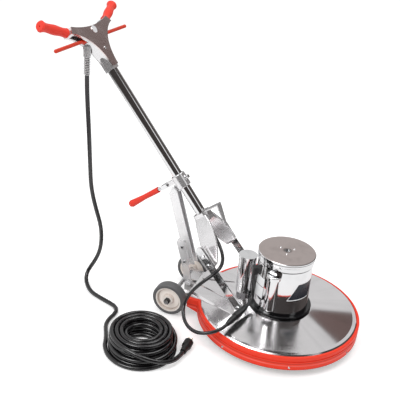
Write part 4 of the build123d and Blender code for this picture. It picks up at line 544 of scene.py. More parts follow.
@dataclass(frozen=True)
class LabelledShell(Finish):
    """Polished shell with a bare dark slanted label in front, a bare white one by the covers, and a
    painted shadow band just under the cap's skirt.
    """

    label_low: float = 0.170
    label_high: float = 0.238
    label_start: float = -1.162
    label_width: float = 0.95
    label_slant: float = 5.74
    border: float = 0.05
    border_tall: float = 2.5
    rear_low: float = 0.150
    rear_high: float = 0.232
    rear_start: float = -2.55
    rear_end: float = -2.06
    rear_line: float = 0.196
    rear_blur: Tuple[float, float] = (0.01, 0.001)
    line_reach: Tuple[float, float] = (0.0008, 0.0014)
    # Height and reach of the painted shadow band under the cap's skirt.
    painted_shadow_height: float = 0.2828
    painted_shadow_reach: Tuple[float, float] = (0.0018, 0.0032)
    paper: Colour = (0.90, 0.91, 0.92)
    ink: Colour = (0.006, 0.010, 0.020)
    film_grain: Grain = Grain(24.0, 5.0, (0.45, 0.75))
    sheet_grain: Grain = Grain(9.0, 1.0)

    def fill(self, shader: Shader) -> None:
        """Fill the node tree.

        Args:
            shader: Empty tree of the new material.
        """
        place = shader.place()
        x, y, z = shader.axes(place)
        around = y.turn_from(x)
        turn = around - self.label_start - (z - self.label_low) * self.label_slant
        tall = self.label_high - self.label_low
        across = (turn / self.label_width - 0.5).size() * 2
        along = ((z - self.label_low) / tall - 0.5).size() * 2
        inside = (1 - across.step(0.985, 1.0)) * (1 - along.step(0.97, 1.0))
        tall_border = self.border_tall * self.border
        rim = across.step(1 - self.border, 1.01 - self.border).most(
            along.step(1 - tall_border, 1.03 - tall_border)
        )
        turn_blur, height_blur = self.rear_blur
        rear_wide = around.step(self.rear_start, self.rear_start + turn_blur) * (
            1 - around.step(self.rear_end - turn_blur, self.rear_end)
        )
        rear_tall = z.step(self.rear_low, self.rear_low + height_blur) * (
            1 - z.step(self.rear_high - height_blur, self.rear_high)
        )
        rear = rear_wide * rear_tall
        line = z.near(self.rear_line, *self.line_reach)
        covered = inside.most(rear)
        # Painted shadow: a dark band round the shell just under the cap's skirt.
        dark_band = z.near(self.painted_shadow_height, *self.painted_shadow_reach)
        film = shader.noise(place, self.film_grain)
        sheet = shader.noise(place, self.sheet_grain)
        darker = shaded(self.colour, 0.86)
        metal = shader.mix(film * 0.5, self.colour, darker)
        # Darkens the metal in the painted shadow band.
        metal = shader.mix(dark_band, metal, shaded(self.colour, 0.12))
        print_face = shader.mix((1 - rim) * inside + line * rear, self.paper, self.ink)
        shader.surface(
            {
                "Base Color": shader.mix(covered, metal, print_face),
                "Metallic": 1 - covered,
                "Roughness": film * 0.06 + covered * 0.22 + 0.05,
                "Normal": shader.bump(sheet, 0.35, 0.0006),
            }
        )


@dataclass(frozen=True)
class CastMetal(Finish):
    """Buffed casting with a fine skin and duller, darker patches at random."""

    roughness: float = 0.3
    skin: float = 0.00025
    metal: float = 1.0
    skin_grain: Grain = Grain(420.0, 4.0)
    cloud_grain: Grain = Grain(22.0, 3.0, (0.35, 0.8))

    def fill(self, shader: Shader) -> None:
        """Fill the node tree.

        Args:
            shader: Empty tree of the new material.
        """
        place = shader.place()
        skin = shader.noise(place, self.skin_grain)
        cloud = shader.noise(place, self.cloud_grain)
        darker = shaded(self.colour, 0.62)
        shader.surface(
            {
                "Base Color": shader.mix(cloud * 0.12 + skin * 0.08, self.colour, darker),
                "Metallic": self.metal,
                "Roughness": cloud * 0.08 + skin * 0.06 + (self.roughness - 0.05),
                "Normal": shader.bump(skin, 0.4, self.skin),
            }
        )


@dataclass(frozen=True)
class SatinRubber(Finish):
    """Rubber or soft plastic with a fine skin and dusty, worn patches."""

    roughness: float = 0.5
    skin: float = 0.0003
    dust_and_sheen: float = 0.25
    dust_and_sheen_colour: Colour = (0.45, 0.42, 0.4)
    shine: float = 0.4
    skin_grain: Grain = Grain(700.0, 3.0)
    patch_grain: Grain = Grain(16.0, 4.0, (0.5, 0.85))

    def fill(self, shader: Shader) -> None:
        """Fill the node tree.

        Args:
            shader: Empty tree of the new material.
        """
        place = shader.place()
        skin = shader.noise(place, self.skin_grain)
        patch = shader.noise(place, self.patch_grain)
        deep = shaded(self.colour, 0.8)
        base = shader.mix(skin * 0.5, self.colour, deep)
        shader.surface(
            {
                "Base Color": shader.mix(patch * self.dust_and_sheen * 0.4, base, self.dust_and_sheen_colour),
                "Roughness": patch * 0.15 + skin * 0.12 + (self.roughness - 0.06),
                "Specular IOR Level": self.shine,
                "Normal": shader.bump(skin, 0.35, self.skin),
            }
        )


@dataclass(frozen=True)
class BandedRubber(Finish):
    """Rubber strip with a painted shade line and a painted highlight line along it, and painted shade
    along its lower edge.
    """

    roughness: float = 0.42
    painted_shade_line_height: float = 0.0545
    painted_highlight_height: float = 0.0455
    line_width: float = 0.0035
    foot_height: float = 0.0315
    foot_blur: float = 0.003
    # Colour of the painted highlight line.
    pale: Colour = (0.92, 0.30, 0.27)
    skin_grain: Grain = Grain(700.0, 3.0)
    patch_grain: Grain = Grain(16.0, 4.0, (0.4, 0.8))

    def fill(self, shader: Shader) -> None:
        """Fill the node tree.

        Args:
            shader: Empty tree of the new material.
        """
        place = shader.place()
        _, _, z = shader.axes(place)
        skin = shader.noise(place, self.skin_grain)
        patch = shader.noise(place, self.patch_grain)
        # Painted shade: a dark line along the middle of the strip.
        painted_shade_line = z.near(self.painted_shade_line_height, 0.0, self.line_width)
        # Painted highlight: a pale line along the lower lip.
        pale = z.near(self.painted_highlight_height, 0.0, self.line_width)
        # Painted shade along the lower edge, next to the floor.
        painted_foot_shade = 1 - z.step(self.foot_height - self.foot_blur, self.foot_height)
        deep = shaded(self.colour, 0.8)
        dark = shaded(self.colour, 0.3)
        base = shader.mix(skin * 0.5, self.colour, deep)
        base = shader.mix(pale * (0.35 + patch * 0.3), base, self.pale)
        shader.surface(
            {
                "Base Color": shader.mix((painted_shade_line * 0.55).most(painted_foot_shade * 0.9), base, dark),
                "Roughness": patch * 0.12 + skin * 0.1 + (self.roughness - 0.06),
                "Specular IOR Level": 0.3,
                "Normal": shader.bump(skin, 0.35, 0.0002),
            }
        )


@dataclass(frozen=True)
class GlossPlastic(Finish):
    """Moulded or dipped plastic with a clear gloss."""

    roughness: float = 0.25
    coat: float = 0.3
    peel_grain: Grain = Grain(160.0, 2.0)
    patch_grain: Grain = Grain(20.0, 3.0, (0.4, 0.8))

    def fill(self, shader: Shader) -> None:
        """Fill the node tree.

        Args:
            shader: Empty tree of the new material.
        """
        place = shader.place()
        peel = shader.noise(place, self.peel_grain)
        patch = shader.noise(place, self.patch_grain)
        deep = shaded(self.colour, 0.82)
        shader.surface(
            {
                "Base Color": shader.mix(patch * 0.5, self.colour, deep),
                "Roughness": patch * 0.12 + peel * 0.06 + self.roughness,
                "Coat Weight": self.coat,
                "Normal": shader.bump(peel, 0.25, 0.0002),
            }
        )


@dataclass(frozen=True)
class DishedHub(Finish):
    """Cream hub plastic, shaded in the dish inside its rim and round its boss."""

    roughness: float = 0.35
    axle: Tuple[float, float] = (-0.388, 0.0635)
    dish_radius: float = 0.0425
    dish_width: float = 0.005
    boss_radius: float = 0.0205
    boss_width: float = 0.0035
    shade: Colour = (0.36, 0.27, 0.22)
    patch_grain: Grain = Grain(20.0, 3.0, (0.4, 0.8))

    def fill(self, shader: Shader) -> None:
        """Fill the node tree.

        Args:
            shader: Empty tree of the new material.
        """
        place = shader.place()
        x, _, z = shader.axes(place)
        out = ((x - self.axle[0]) ** 2 + (z - self.axle[1]) ** 2).root()
        dish = out.near(self.dish_radius, 0.0, self.dish_width)
        boss = out.near(self.boss_radius, 0.0, self.boss_width)
        patch = shader.noise(place, self.patch_grain)
        shadow = (dish * 0.6).most(boss * 0.35) + patch * 0.06
        shader.surface(
            {
                "Base Color": shader.mix(shadow, self.colour, self.shade),
                "Roughness": patch * 0.12 + self.roughness,
                "Coat Weight": 0.15,
            }
        )


@dataclass(frozen=True)
class CordJacket(Finish):
    """Black cord jacket with a soft sheen and scuffs, and a painted grey sheen that grows with height
    where it hangs high.
    """

    roughness: float = 0.38
    scuffing: float = 0.008
    # Heights and colour of the painted sheen on the hanging cord.
    painted_sheen_from: float = 0.4
    painted_sheen_full: float = 0.95
    dust_and_sheen_colour: Colour = (0.075, 0.072, 0.076)
    scuff_grain: Grain = Grain(60.0, 5.0, (0.55, 0.8))
    skin_grain: Grain = Grain(900.0, 2.0)

    def fill(self, shader: Shader) -> None:
        """Fill the node tree.

        Args:
            shader: Empty tree of the new material.
        """
        place = shader.place()
        scuff = shader.noise(place, self.scuff_grain)
        skin = shader.noise(place, self.skin_grain)
        _, _, z = shader.axes(place)
        pale = tuple(channel + self.scuffing for channel in self.colour)
        black = shader.mix(scuff * 0.6, self.colour, pale)
        # Painted sheen: the colour turns grey towards the top of the hanging run.
        dust_and_sheen = z.step(self.painted_sheen_from, self.painted_sheen_full)
        shader.surface(
            {
                "Base Color": shader.mix(dust_and_sheen, black, self.dust_and_sheen_colour),
                "Roughness": scuff * 0.08 + skin * 0.04 + self.roughness,
                "Specular IOR Level": 0.8,
                "Normal": shader.bump(skin, 0.3, 0.00003),
            }
        )


@dataclass(frozen=True)
class PadFibre(Finish):
    """Pressed fibre of the polishing pad."""

    tuft: float = 0.0012
    hair_grain: Grain = Grain(520.0, 6.0)
    clump_grain: Grain = Grain(70.0, 3.0)

    def fill(self, shader: Shader) -> None:
        """Fill the node tree.

        Args:
            shader: Empty tree of the new material.
        """
        place = shader.place()
        hair = shader.noise(shader.stretch(place, (1.0, 1.0, 2.5)), self.hair_grain)
        clump = shader.noise(place, self.clump_grain)
        deep = shaded(self.colour, 0.5)
        shader.surface(
            {
                "Base Color": shader.mix(hair * 0.6 + clump * 0.3, self.colour, deep),
                "Roughness": hair * 0.1 + 0.85,
                "Specular IOR Level": 0.1,
                "Normal": shader.bump(hair + clump * 0.5, 0.9, self.tuft),
            }
        )


CHROME = PolishedMetal("plated_chrome", (0.84, 0.84, 0.85))
SHELL = LabelledShell("labelled_shell", (0.84, 0.84, 0.85))
DARK_MIRROR = BadgedPlate("head_plate_mirror", (0.80, 0.67, 0.65))
STEEL = PolishedMetal("bright_steel", (0.58, 0.58, 0.59), 0.22, 0.1)
DECK = SpunMetal("spun_deck", (0.88, 0.86, 0.87), 0.17, 0.00013, 0.45)
CAP = CapMetal("brushed_cap", (0.54, 0.47, 0.45))
CASTING = CastMetal("buffed_casting", (0.86, 0.85, 0.86), 0.19, 0.00002, 0.8)
SATIN_PLATE = CastMetal("satin_plate", (0.90, 0.89, 0.90), 0.22, 0.00002, 0.65)
HOOK_PLATE = CastMetal("hook_plate", (0.78, 0.77, 0.78), 0.24, 0.00002, 0.75)
IRON = CastMetal("dark_iron", (0.24, 0.22, 0.21), 0.45)
BUMPER_RED = BandedRubber("red_bumper_rubber", (0.86, 0.042, 0.014))
GRIP_RED = SatinRubber(
    "red_grip_rubber", (0.80, 0.048, 0.028), 0.42, dust_and_sheen=0.05, dust_and_sheen_colour=(0.9, 0.3, 0.25), shine=0.3
)
LEVER_RED = GlossPlastic("red_lever_plastic", (0.62, 0.034, 0.008), 0.36, 0.0)
TYRE = SatinRubber(
    "grey_tyre_rubber", (0.115, 0.115, 0.118), skin=0.0004, dust_and_sheen_colour=(0.25, 0.24, 0.23)
)
HUB = DishedHub("cream_hub_plastic", (1.0, 0.93, 0.87))
BLACK_RUBBER = SatinRubber(
    "soft_black_rubber", (0.010, 0.010, 0.010), 0.40, dust_and_sheen=0.06, dust_and_sheen_colour=(0.08, 0.08, 0.08)
)
BLACK_PLASTIC = GlossPlastic("moulded_black_plastic", (0.010, 0.010, 0.011), 0.28, 0.1)
BLACK_ENAMEL = GlossPlastic("black_enamel", (0.003, 0.003, 0.004), 0.08, 0.1)
JACKET = CordJacket("cord_jacket", (0.006, 0.0055, 0.0065), 0.17)
FIBRE = PadFibre("pad_fibre", (0.62, 0.50, 0.36))
BRASS = PolishedMetal("polished_brass", (0.80, 0.62, 0.32), 0.18, 0.1)


class Bench:
    """Small helpers for modelling with operators."""

    @staticmethod
    def clear() -> None:
        """Leave edit mode and deselect everything."""
        if bpy.context.object is not None and bpy.context.object.mode != "OBJECT":
            bpy.ops.object.mode_set(mode="OBJECT")
        bpy.ops.object.select_all(action="DESELECT")

    @staticmethod
    def only(piece: bpy.types.Object) -> None:
        """Select one object and make it active.

        Args:
            piece: The object.
        """
        Bench.clear()
        piece.select_set(True)
        bpy.context.view_layer.objects.active = piece

    @staticmethod
    def settle(
        piece: bpy.types.Object, name: str, finish: Finish, angle: float
    ) -> bpy.types.Object:
        """Apply modifiers and place, smooth the shading and dress a new piece.

        Args:
            piece: New mesh object.
            name: Name it gets.
            finish: Finish it gets.
            angle: Edges sharper than this stay sharp, in degrees.

        Returns:
            The same object.
        """
        Bench.only(piece)
        for modifier in list(piece.modifiers):
            bpy.ops.object.modifier_apply(modifier=modifier.name)
        bpy.ops.object.transform_apply(location=True, rotation=True, scale=True)
        bpy.ops.object.shade_smooth_by_angle(angle=math.radians(angle))
        piece.name = name
        piece.data.name = name
        piece.data.materials.clear()
        piece.data.materials.append(finish.make())
        Bench.clear()
        return piece

    @staticmethod
    def dress(finish: Finish, *nodes: str) -> None:
        """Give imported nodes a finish.

        Args:
            finish: The finish.
            nodes: Names of the nodes.
        """
        for node in nodes:
            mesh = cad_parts[node].data
            mesh.materials.clear()
            mesh.materials.append(finish.make())
            LOG.info("dressed %s with %s", node, finish.name)


class SubAssembly:
    """A group of pieces that are built and dressed together."""

    def dress(self) -> None:
        """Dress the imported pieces."""
        raise NotImplementedError

    def build(self) -> List[bpy.types.Object]:
        """Model pieces in place of packed ones; most groups have none."""
        return []


@dataclass
class Route:
    """A smooth line through the air and along the floor, as one spline."""

    points: List[Point]
    diameter: float
    steps: int = 4
    section_steps: int = 3
    smooth_angle: float = 60.0

    def spline(self, name: str, bevel: float) -> bpy.types.Object:
        """Make the line as a curve object.

        Args:
            name: Name of the object.
            bevel: Radius of the round section, or 0 for a bare line.

        Returns:
            The curve object.
        """
        curve = bpy.data.curves.new(name, "CURVE")
        curve.dimensions = "3D"
        curve.resolution_u = self.steps
        curve.bevel_depth = bevel
        curve.bevel_resolution = self.section_steps
        curve.use_fill_caps = True
        line = curve.splines.new("NURBS")
        line.points.add(len(self.points) - 1)
        for control, place in zip(line.points, self.points):
            control.co = (*place, 1.0)
        line.order_u = 3
        line.use_endpoint_u = True
        made = bpy.data.objects.new(name, curve)
        bpy.context.scene.collection.objects.link(made)
        return made

    def path(self) -> List[Point]:
        """Points of the smooth line, read from its spline.

        Returns:
            Points in order, in metres.
        """
        bare = self.spline("bare_line", 0.0)
        bpy.context.view_layer.update()
        solved = bare.evaluated_get(bpy.context.evaluated_depsgraph_get())
        mesh = bpy.data.meshes.new_from_object(solved)
        found = [tuple(vertex.co) for vertex in mesh.vertices]
        bpy.data.meshes.remove(mesh)
        line = bare.data
        bpy.data.objects.remove(bare)
        bpy.data.curves.remove(line)
        return found

    def tube(self, name: str, finish: Finish) -> bpy.types.Object:
        """Make the cord as a mesh tube.

        Args:
            name: Name of the piece.
            finish: Its finish.

        Returns:
            The mesh object.
        """
        made = self.spline(name, self.diameter / 2)
        Bench.only(made)
        bpy.ops.object.convert(target="MESH")
        return Bench.settle(bpy.context.object, name, finish, self.smooth_angle)


@dataclass
class PowerCord(SubAssembly):
    """The mains cord: it hangs from the head, runs along the floor and ends in a coil with a plug."""

    diameter: float = 0.016
    length: float = 9.36
    hanging: List[Point] = field(
        default_factory=lambda: [
            (-0.793, -0.046, 0.894),
            (-0.793, -0.046, 0.806),
            (-0.788, -0.048, 0.726),
            (-0.778, -0.051, 0.610),
            (-0.771, -0.052, 0.490),
            (-0.766, -0.052, 0.400),
            (-0.746, -0.050, 0.318),
            (-0.720, -0.048, 0.240),
            (-0.716, -0.052, 0.160),
            (-0.732, -0.058, 0.100),
            (-0.768, -0.088, 0.030),
            (-0.716, -0.148, 0.008),
            (-0.654, -0.172, 0.008),
            (-0.550, -0.200, 0.008),
            (-0.564, -0.296, 0.008),
        ]
    )
    centre: Tuple[float, float] = (-0.388, -0.362)
    inner_radius: float = 0.061
    pitch: float = 0.0171
    layer_step: float = 0.0168
    layer_turns: Tuple[float, ...] = (3.72, 3.03, 3.03, 2.78)
    climb: float = 0.5
    swing: float = 1.75
    lean: Tuple[float, float] = (-0.145, 0.42)
    start_angle: float = 205.0
    tail_turns: float = 0.376
    tail_hold: float = 0.25
    tail_reach: float = 0.148
    plug_rise: float = 0.0175
    approach: float = 0.046
    points_a_turn: int = 16
    tolerance: float = 1e-9
    bend_start: Point = (-0.79, -0.05, 0.86)
    bend_end: Point = (-0.74, -0.05, 0.06)

    @staticmethod
    def ease(share: float) -> float:
        """Smooth step from 0 to 1."""
        return share**2 * (3 - 2 * share)

    def layer_start(self, layer: int) -> float:
        """Turns from the coil's start to the start of a layer."""
        return sum(self.layer_turns[:layer]) + layer * self.climb

    def middle(self, height: float) -> Vector:
        """Middle of the leaning heap at a height.

        Args:
            height: Height above the floor.

        Returns:
            The point.
        """
        rise = height - self.diameter / 2
        across, along = (start + slope * rise for start, slope in zip(self.centre, self.lean))
        return Vector((across, along, height))

    def turn_place(self, turn: float) -> Point:
        """Place of the coil's control point after a number of turns.

        Args:
            turn: Turns from the coil's start.

        Returns:
            The point, in metres.
        """
        top = len(self.layer_turns) - 1
        begun = turn + self.tolerance
        layer = max(step for step in range(top + 1) if self.layer_start(step) <= begun)
        turns = self.layer_turns[layer]
        inside = turn - self.layer_start(layer)
        height = self.diameter / 2 + layer * self.layer_step
        inward = layer % 2 == 0
        edge = self.inner_radius if inward else self.inner_radius + turns * self.pitch
        sign = 1 if inward else -1
        late = inside - turns
        if late <= self.tolerance:
            reach = edge - sign * self.pitch * late
        elif layer == top:
            share = late / self.tail_turns
            reach = edge + (self.tail_reach - edge) * self.ease(share)
            falling = max(0.0, share - self.tail_hold) / (1 - self.tail_hold)
            height += (self.plug_rise - height) * self.ease(falling)
        else:
            reach = edge + sign * self.swing * self.pitch * late * (late / self.climb - 1)
            height += self.layer_step * self.ease(late / self.climb)
        reach /= math.cos(math.pi / self.points_a_turn)
        angle = math.radians(self.start_angle + 360 * turn)
        return tuple(self.middle(height) + reach * Vector((math.cos(angle), math.sin(angle), 0.0)))

    def route(self) -> Route:
        """The whole cord's line.

        Returns:
            The route from the gland to the plug.
        """
        turns = self.layer_start(len(self.layer_turns) - 1) + self.layer_turns[-1] + self.tail_turns
        count = round(turns * self.points_a_turn)
        coil = [self.turn_place(turns * step / count) for step in range(count + 1)]
        ends = []
        for point in (coil[0], coil[-1]):
            middle = self.middle(point[2])
            out = (Vector(point) - middle) * math.cos(math.pi / self.points_a_turn)
            ends.append((middle + out, Vector((-out.y, out.x, 0.0)).normalized()))
        (start, ahead), (end, away) = ends
        before = (self.diameter + self.approach, self.diameter)
        lead_in = [tuple(start - ahead * distance) for distance in before]
        tail = [tuple(end), tuple(end + away * self.diameter)]
        return Route(self.hanging + lead_in + coil[:-1] + tail, self.diameter)

    def build(self) -> List[bpy.types.Object]:
        """Returns:
            The cord's mesh.
        """
        route = self.route()
        piece = route.tube("power_cord_jacket", JACKET)
        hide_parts("power_cord", "cord_coil")
        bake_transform(piece)
        route.path()
        return [piece]

    def dress(self) -> None:
        """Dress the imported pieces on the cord."""
        Bench.dress(BLACK_RUBBER, "plug_body")
        Bench.dress(BRASS, "plug_pins")
        Bench.dress(JACKET, "power_cord", "cord_coil")


@dataclass
class MotorLead(SubAssembly):
    """The lead from the handle to the motor, in two runs with a connector between them."""

    diameter: float = 0.013
    upper_length: float = 0.688
    lower_length: float = 0.141
    bend_start: Point = (-0.26, -0.01, 0.30)
    bend_end: Point = (-0.30, -0.20, 0.10)
    upper: List[Point] = field(
        default_factory=lambda: [
            (-0.31648, 0.0, 0.35573),
            (-0.29697, 0.0, 0.33164),
            (-0.27553, 0.002, 0.29881),
            (-0.24115, -0.018, 0.26747),
            (-0.21168, -0.068, 0.25015),
            (-0.206, -0.134, 0.244),
            (-0.250, -0.172, 0.206),
            (-0.288, -0.184, 0.156),
            (-0.304, -0.204, 0.108),
            (-0.282, -0.246, 0.080),
            (-0.240, -0.286, 0.078),
            (-0.190, -0.306, 0.090),
            (-0.13627, -0.27616, 0.10307),
            (-0.125, -0.236, 0.108),
        ]
    )
    lower: List[Point] = field(
        default_factory=lambda: [
            (-0.093, -0.122, 0.122),
            (-0.08119, -0.07993, 0.12717),
            (-0.09285, -0.06263, 0.188),
            (-0.09285, -0.06263, 0.226),
        ]
    )

    def build(self) -> List[bpy.types.Object]:
        """Returns:
            The two runs.
        """
        route = Route(self.upper, self.diameter)
        long_run = route.tube("motor_lead_jacket", JACKET)
        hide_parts("motor_lead")
        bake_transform(long_run)
        route.path()
        short_route = Route(self.lower, self.diameter)
        short_run = short_route.tube("lead_end_jacket", JACKET)
        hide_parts("lead_end")
        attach(short_run, "deck")
        short_route.path()
        return [long_run, short_run]

    def dress(self) -> None:
        """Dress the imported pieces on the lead."""
        Bench.dress(JACKET, "motor_lead", "lead_end")
        Bench.dress(BLACK_PLASTIC, "lead_connector", "lead_gland")


@dataclass
class PadDrive(SubAssembly):
    """The turning parts under the hood, with a fibre pad in place of its plain solid."""

    radius: float = 0.254
    thickness: float = 0.025
    edge: float = 0.004
    edge_segments: int = 4
    edge_angle: float = 60.0
    dish: float = 0.0016
    dish_from: float = 0.5
    dish_power: int = 6
    ripples: int = 9
    sides: int = 96
    ripple_mean: float = 0.6
    ripple_swing: float = 0.4
    rings: int = 3
    ring_share: float = 0.24
    flat_normal: float = 0.9
    top_share: float = 0.8
    smooth_angle: float = 50.0

    def build(self) -> List[bpy.types.Object]:
        """Model the pad as a crowned fibre disc.

        Returns:
            The pad's mesh.
        """
        Bench.clear()
        bpy.ops.mesh.primitive_cylinder_add(
            vertices=self.sides,
            radius=self.radius,
            depth=self.thickness,
            location=(0, 0, self.thickness / 2),
        )
        pad = bpy.context.object
        bpy.ops.object.mode_set(mode="EDIT")
        bpy.ops.mesh.select_all(action="DESELECT")
        bpy.ops.object.mode_set(mode="OBJECT")
        for face in pad.data.polygons:
            face.select = abs(face.normal.z) > self.flat_normal
        bpy.ops.object.mode_set(mode="EDIT")
        for _ in range(self.rings):
            bpy.ops.mesh.inset(thickness=self.radius * self.ring_share, depth=0.0)
        bpy.ops.object.mode_set(mode="OBJECT")
        rounding = pad.modifiers.new("edge", "BEVEL")
        rounding.width = self.edge
        rounding.segments = self.edge_segments
        rounding.limit_method = "ANGLE"
        rounding.angle_limit = math.radians(self.edge_angle)
        Bench.settle(pad, "pad_fibre_disc", FIBRE, self.smooth_angle)
        for vertex in pad.data.vertices:
            reach = math.hypot(vertex.co.x, vertex.co.y)
            on_top = vertex.co.z > self.thickness * self.top_share
            if on_top and reach > self.radius * self.dish_from:
                angle = math.atan2(vertex.co.y, vertex.co.x)
                ripple = self.ripple_mean + self.ripple_swing * math.sin(self.ripples * angle)
                vertex.co.z -= self.dish * ripple * (reach / self.radius) ** self.dish_power
        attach(pad, "pad_drive")
        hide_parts("polishing_pad")
        return [pad]

    def dress(self) -> None:
        """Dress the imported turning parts."""
        Bench.dress(STEEL, "motor_shaft", "drive_hub", "cooling_fan")
        Bench.dress(IRON, "rotor_core")
        Bench.dress(BLACK_PLASTIC, "pad_driver", "pad_lock")
        Bench.dress(FIBRE, "polishing_pad")


@dataclass
class DeckAssembly(SubAssembly):
    """The hood, its bumper and the rear carriage."""

    def dress(self) -> None:
        """Dress the deck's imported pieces."""
        Bench.dress(DECK, "deck_hood")
        Bench.dress(BUMPER_RED, "bumper")
        Bench.dress(STEEL, "bumper_rivets", "deck_bolts", "axle")
        Bench.dress(CASTING, "rear_carriage", "pivot_brackets")
        Bench.dress(CHROME, "pivot_bolts", "brace_pivot")


@dataclass
class MotorAssembly(SubAssembly):
    """The upright motor with its cap and capacitor covers."""

    def dress(self) -> None:
        """Dress the motor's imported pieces."""
        Bench.dress(SHELL, "motor_shell")
        Bench.dress(CHROME, "capacitor_covers")
        Bench.dress(CAP, "motor_cap")
        Bench.dress(BLACK_ENAMEL, "motor_base_ring")
        Bench.dress(SATIN_PLATE, "cap_screws")
        Bench.dress(STEEL, "capacitor_bracket", "motor_bearings")
        Bench.dress(CASTING, "lower_end_bell")
        Bench.dress(IRON, "stator")
        Bench.dress(BLACK_PLASTIC, "capacitors")


@dataclass
class WheelSet(SubAssembly):
    """Two grey wheels on cream hubs."""

    def dress(self) -> None:
        """Dress the wheels."""
        Bench.dress(TYRE, "right_tyre", "left_tyre")
        Bench.dress(HUB, "right_hub", "left_hub")
        Bench.dress(BLACK_PLASTIC, "axle_nuts")


@dataclass
class HandleAssembly(SubAssembly):
    """Tube, yoke, links, head, grips and levers."""

    def dress(self) -> None:
        """Dress the handle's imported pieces."""
        Bench.dress(CHROME, "handle_tube", "side_links", "link_bolts", "head_screw")
        Bench.dress(CASTING, "yoke", "head_body")
        Bench.dress(HOOK_PLATE, "cord_hook")
        Bench.dress(SATIN_PLATE, "cord_gland", "spring_guard")
        Bench.dress(DARK_MIRROR, "head_plate")
        Bench.dress(GRIP_RED, "handle_grips")
        Bench.dress(LEVER_RED, "right_switch_lever", "left_switch_lever")
        Bench.dress(BLACK_PLASTIC, "switch_box")


@dataclass
class BraceAssembly(SubAssembly):
    """Collar, clamp lever and brace."""

    def dress(self) -> None:
        """Dress the brace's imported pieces."""
        Bench.dress(CHROME, "collar_pins", "brace_bolts", "clamp_lever")
        Bench.dress(SATIN_PLATE, "brace_channel", "brace_bar")
        Bench.dress(CASTING, "clamp_collar")
        Bench.dress(GRIP_RED, "clamp_grip")


@dataclass(frozen=True)
class RoomPatch:
    """A round patch of the room, a soft box or a flag, for reflections only; angles in degrees."""

    azimuth: float
    height: float
    inner: float
    outer: float
    level: float

    def glow(self, x: Value, y: Value, z: Value) -> Value:
        """Strength of the patch in one direction.

        Args:
            x: First number of the direction.
            y: Second number of the direction.
            z: Third number of the direction.

        Returns:
            The level inside the patch, falling to 0 at its rim.
        """
        turn = math.radians(self.azimuth)
        rise = math.radians(self.height)
        flat = math.cos(rise)
        towards = x * (flat * math.cos(turn)) + y * (flat * math.sin(turn)) + z * math.sin(rise)
        rim, core = (math.cos(math.radians(angle)) for angle in (self.outer, self.inner))
        return towards.step(rim, core) * self.level


@dataclass(frozen=True)
class Lamp:
    """A large soft square lamp: name, place, the point it faces, edge length and watts."""

    name: str
    place: Point
    aim: Point
    size: float
    power: float

    def hang(self) -> None:
        """Add the lamp to the scene."""
        data = bpy.data.lights.new(self.name, "AREA")
        data.shape = "SQUARE"
        data.size = self.size
        data.energy = self.power
        made = bpy.data.objects.new(self.name, data)
        made.location = self.place
        facing = Vector(self.aim) - Vector(self.place)
        made.rotation_euler = facing.to_track_quat("-Z", "Y").to_euler()
        bpy.context.scene.collection.objects.link(made)


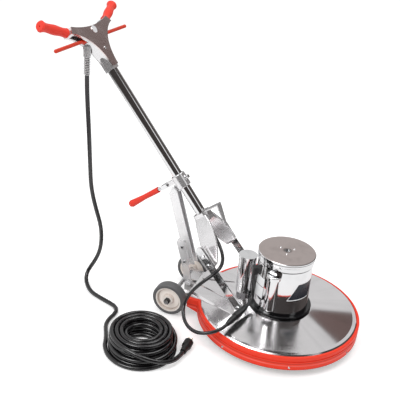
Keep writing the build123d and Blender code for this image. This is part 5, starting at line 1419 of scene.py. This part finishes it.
@dataclass
class Studio:
    """Camera, soft light, pale floor and backdrop."""

    eye: Point = (0.3638, -2.1073, 1.5179)
    right: Point = (0.93, 0.3576, 0.0857)
    up: Point = (-0.2303, 0.3847, 0.8939)
    forward: Point = (-0.2866, 0.851, -0.4401)
    lens: float = 61.12
    sensor: float = 36.0
    reach: float = 100.0
    shift_up: float = 0.002
    lamps: Tuple[Lamp, ...] = (
        Lamp("key_lamp", (-1.6, -2.4, 3.2), (-0.2, 0.0, 0.3), 1.8, 52.0),
        Lamp("top_lamp", (0.6, 0.6, 3.4), (-0.1, 0.0, 0.2), 1.6, 28.0),
    )
    fill_light: float = 0.80
    floor_size: float = 30.0
    floor_colour: Colour = (0.86, 0.86, 0.86)
    floor_glow: float = 0.34
    far_floor_colour: Colour = (0.05, 0.045, 0.043)
    far_floor: Tuple[float, float] = (1.6, 2.1)
    boxes: Tuple[RoomPatch, ...] = (
        RoomPatch(118.0, 25.0, 38.0, 54.0, 0.70),
        RoomPatch(205.0, 14.0, 30.0, 44.0, 0.95),
        RoomPatch(-15.0, 32.0, 6.0, 12.0, 0.90),
        RoomPatch(180.0, 86.0, 14.0, 26.0, 0.85),
        RoomPatch(-98.0, 58.0, 9.0, 16.0, 2.6),
    )
    flags: Tuple[RoomPatch, ...] = (
        RoomPatch(79.7, 34.8, 7.1, 8.0, 1.0),
        RoomPatch(70.0, 22.5, 5.0, 8.0, 0.8),
    )
    wall_level: float = 0.05
    wall_gain: float = 0.04
    wall_fade: Tuple[float, float] = (-0.2, 0.5)
    wall_tint: Colour = (1.0, 0.86, 0.82)
    flag_colour: Colour = (0.07, 0.035, 0.031)

    def camera(self) -> None:
        """Place the camera at the photograph's viewpoint."""
        data = bpy.data.cameras.new("camera")
        data.lens = self.lens
        data.sensor_width = self.sensor
        data.clip_end = self.reach
        data.shift_y = self.shift_up
        made = bpy.data.objects.new("camera", data)
        columns = [Vector(self.right), Vector(self.up), -Vector(self.forward)]
        made.matrix_world = Matrix.Translation(self.eye) @ Matrix(columns).transposed().to_4x4()
        bpy.context.scene.collection.objects.link(made)
        bpy.context.scene.camera = made

    def floor(self) -> None:
        """Lay the pale floor, which keeps the object's shadow."""
        Bench.clear()
        bpy.ops.mesh.primitive_plane_add(size=self.floor_size, location=(0, 0, 0))
        ground = bpy.context.object
        ground.name = "studio_floor"
        material = bpy.data.materials.new("pale_floor")
        shader = Shader(material)
        paths = shader.node("ShaderNodeLightPath")
        seen = Value(shader, paths.outputs["Is Camera Ray"]).most(
            Value(shader, paths.outputs["Is Transmission Ray"])
        )
        x, y, _ = shader.axes(shader.place())
        far = (x * x + y * y).root().step(*self.far_floor)
        dark = far * Value(shader, paths.outputs["Is Glossy Ray"])
        paper = shader.mix(dark, self.floor_colour, self.far_floor_colour)
        paint = shader.node("ShaderNodeBsdfDiffuse", None, {"Color": paper})
        glow = shader.node("ShaderNodeEmission", None, {"Strength": self.floor_glow})
        added = shader.node("ShaderNodeAddShader", None, {0: paint.outputs[0], 1: glow.outputs[0]})
        chosen = shader.node(
            "ShaderNodeMixShader", None, {0: seen, 1: paint.outputs[0], 2: added.outputs[0]}
        )
        shader.node("ShaderNodeOutputMaterial", None, {0: chosen.outputs[0]})
        ground.data.materials.append(material)

    def world(self) -> None:
        """White backdrop for the camera, and a dark room with soft boxes and flags for reflections."""
        made = bpy.data.worlds.new("studio_room")
        bpy.context.scene.world = made
        shader = Shader(made)
        paths = shader.node("ShaderNodeLightPath")
        glossy = Value(shader, paths.outputs["Is Glossy Ray"])
        x, y, z = shader.axes(shader.node("ShaderNodeTexCoord").outputs["Generated"])
        bright, shade = (
            reduce(Value.most, [patch.glow(x, y, z) for patch in patches])
            for patches in (self.boxes, self.flags)
        )
        bright = bright * (1 - shade)
        wall = y.step(*self.wall_fade) * self.wall_gain + self.wall_level
        channels = [
            glossy * bright.most(wall * tint + shade * brown) + (1 - glossy) * self.fill_light
            for tint, brown in zip(self.wall_tint, self.flag_colour)
        ]
        colour = shader.node("ShaderNodeCombineColor", None, dict(enumerate(channels))).outputs[0]
        room = shader.node("ShaderNodeBackground", None, {"Color": colour, "Strength": 1.0})
        seen = shader.node("ShaderNodeBackground", None, {"Color": (1, 1, 1, 1), "Strength": 1.0})
        chosen = shader.node(
            "ShaderNodeMixShader",
            None,
            {0: paths.outputs["Is Camera Ray"], 1: room.outputs[0], 2: seen.outputs[0]},
        )
        shader.node("ShaderNodeOutputWorld", None, {0: chosen.outputs[0]})

    def build(self) -> None:
        """Set up the whole studio."""
        self.camera()
        self.floor()
        self.world()
        for lamp in self.lamps:
            lamp.hang()
        bpy.context.scene.view_settings.view_transform = "Standard"


def main() -> None:
    """Build the sub-assemblies in order and report each piece."""
    logging.basicConfig(level=logging.INFO)
    Studio().build()
    assemblies: Sequence[SubAssembly] = (
        PowerCord(),
        MotorLead(),
        PadDrive(),
        DeckAssembly(),
        MotorAssembly(),
        WheelSet(),
        HandleAssembly(),
        BraceAssembly(),
    )
    for assembly in assemblies:
        assembly.dress()
        for piece in assembly.build():
            LOG.info("modelled %s", piece.name)
        LOG.info("finished %s", type(assembly).__name__)


if __name__ == "__main__":
    main()
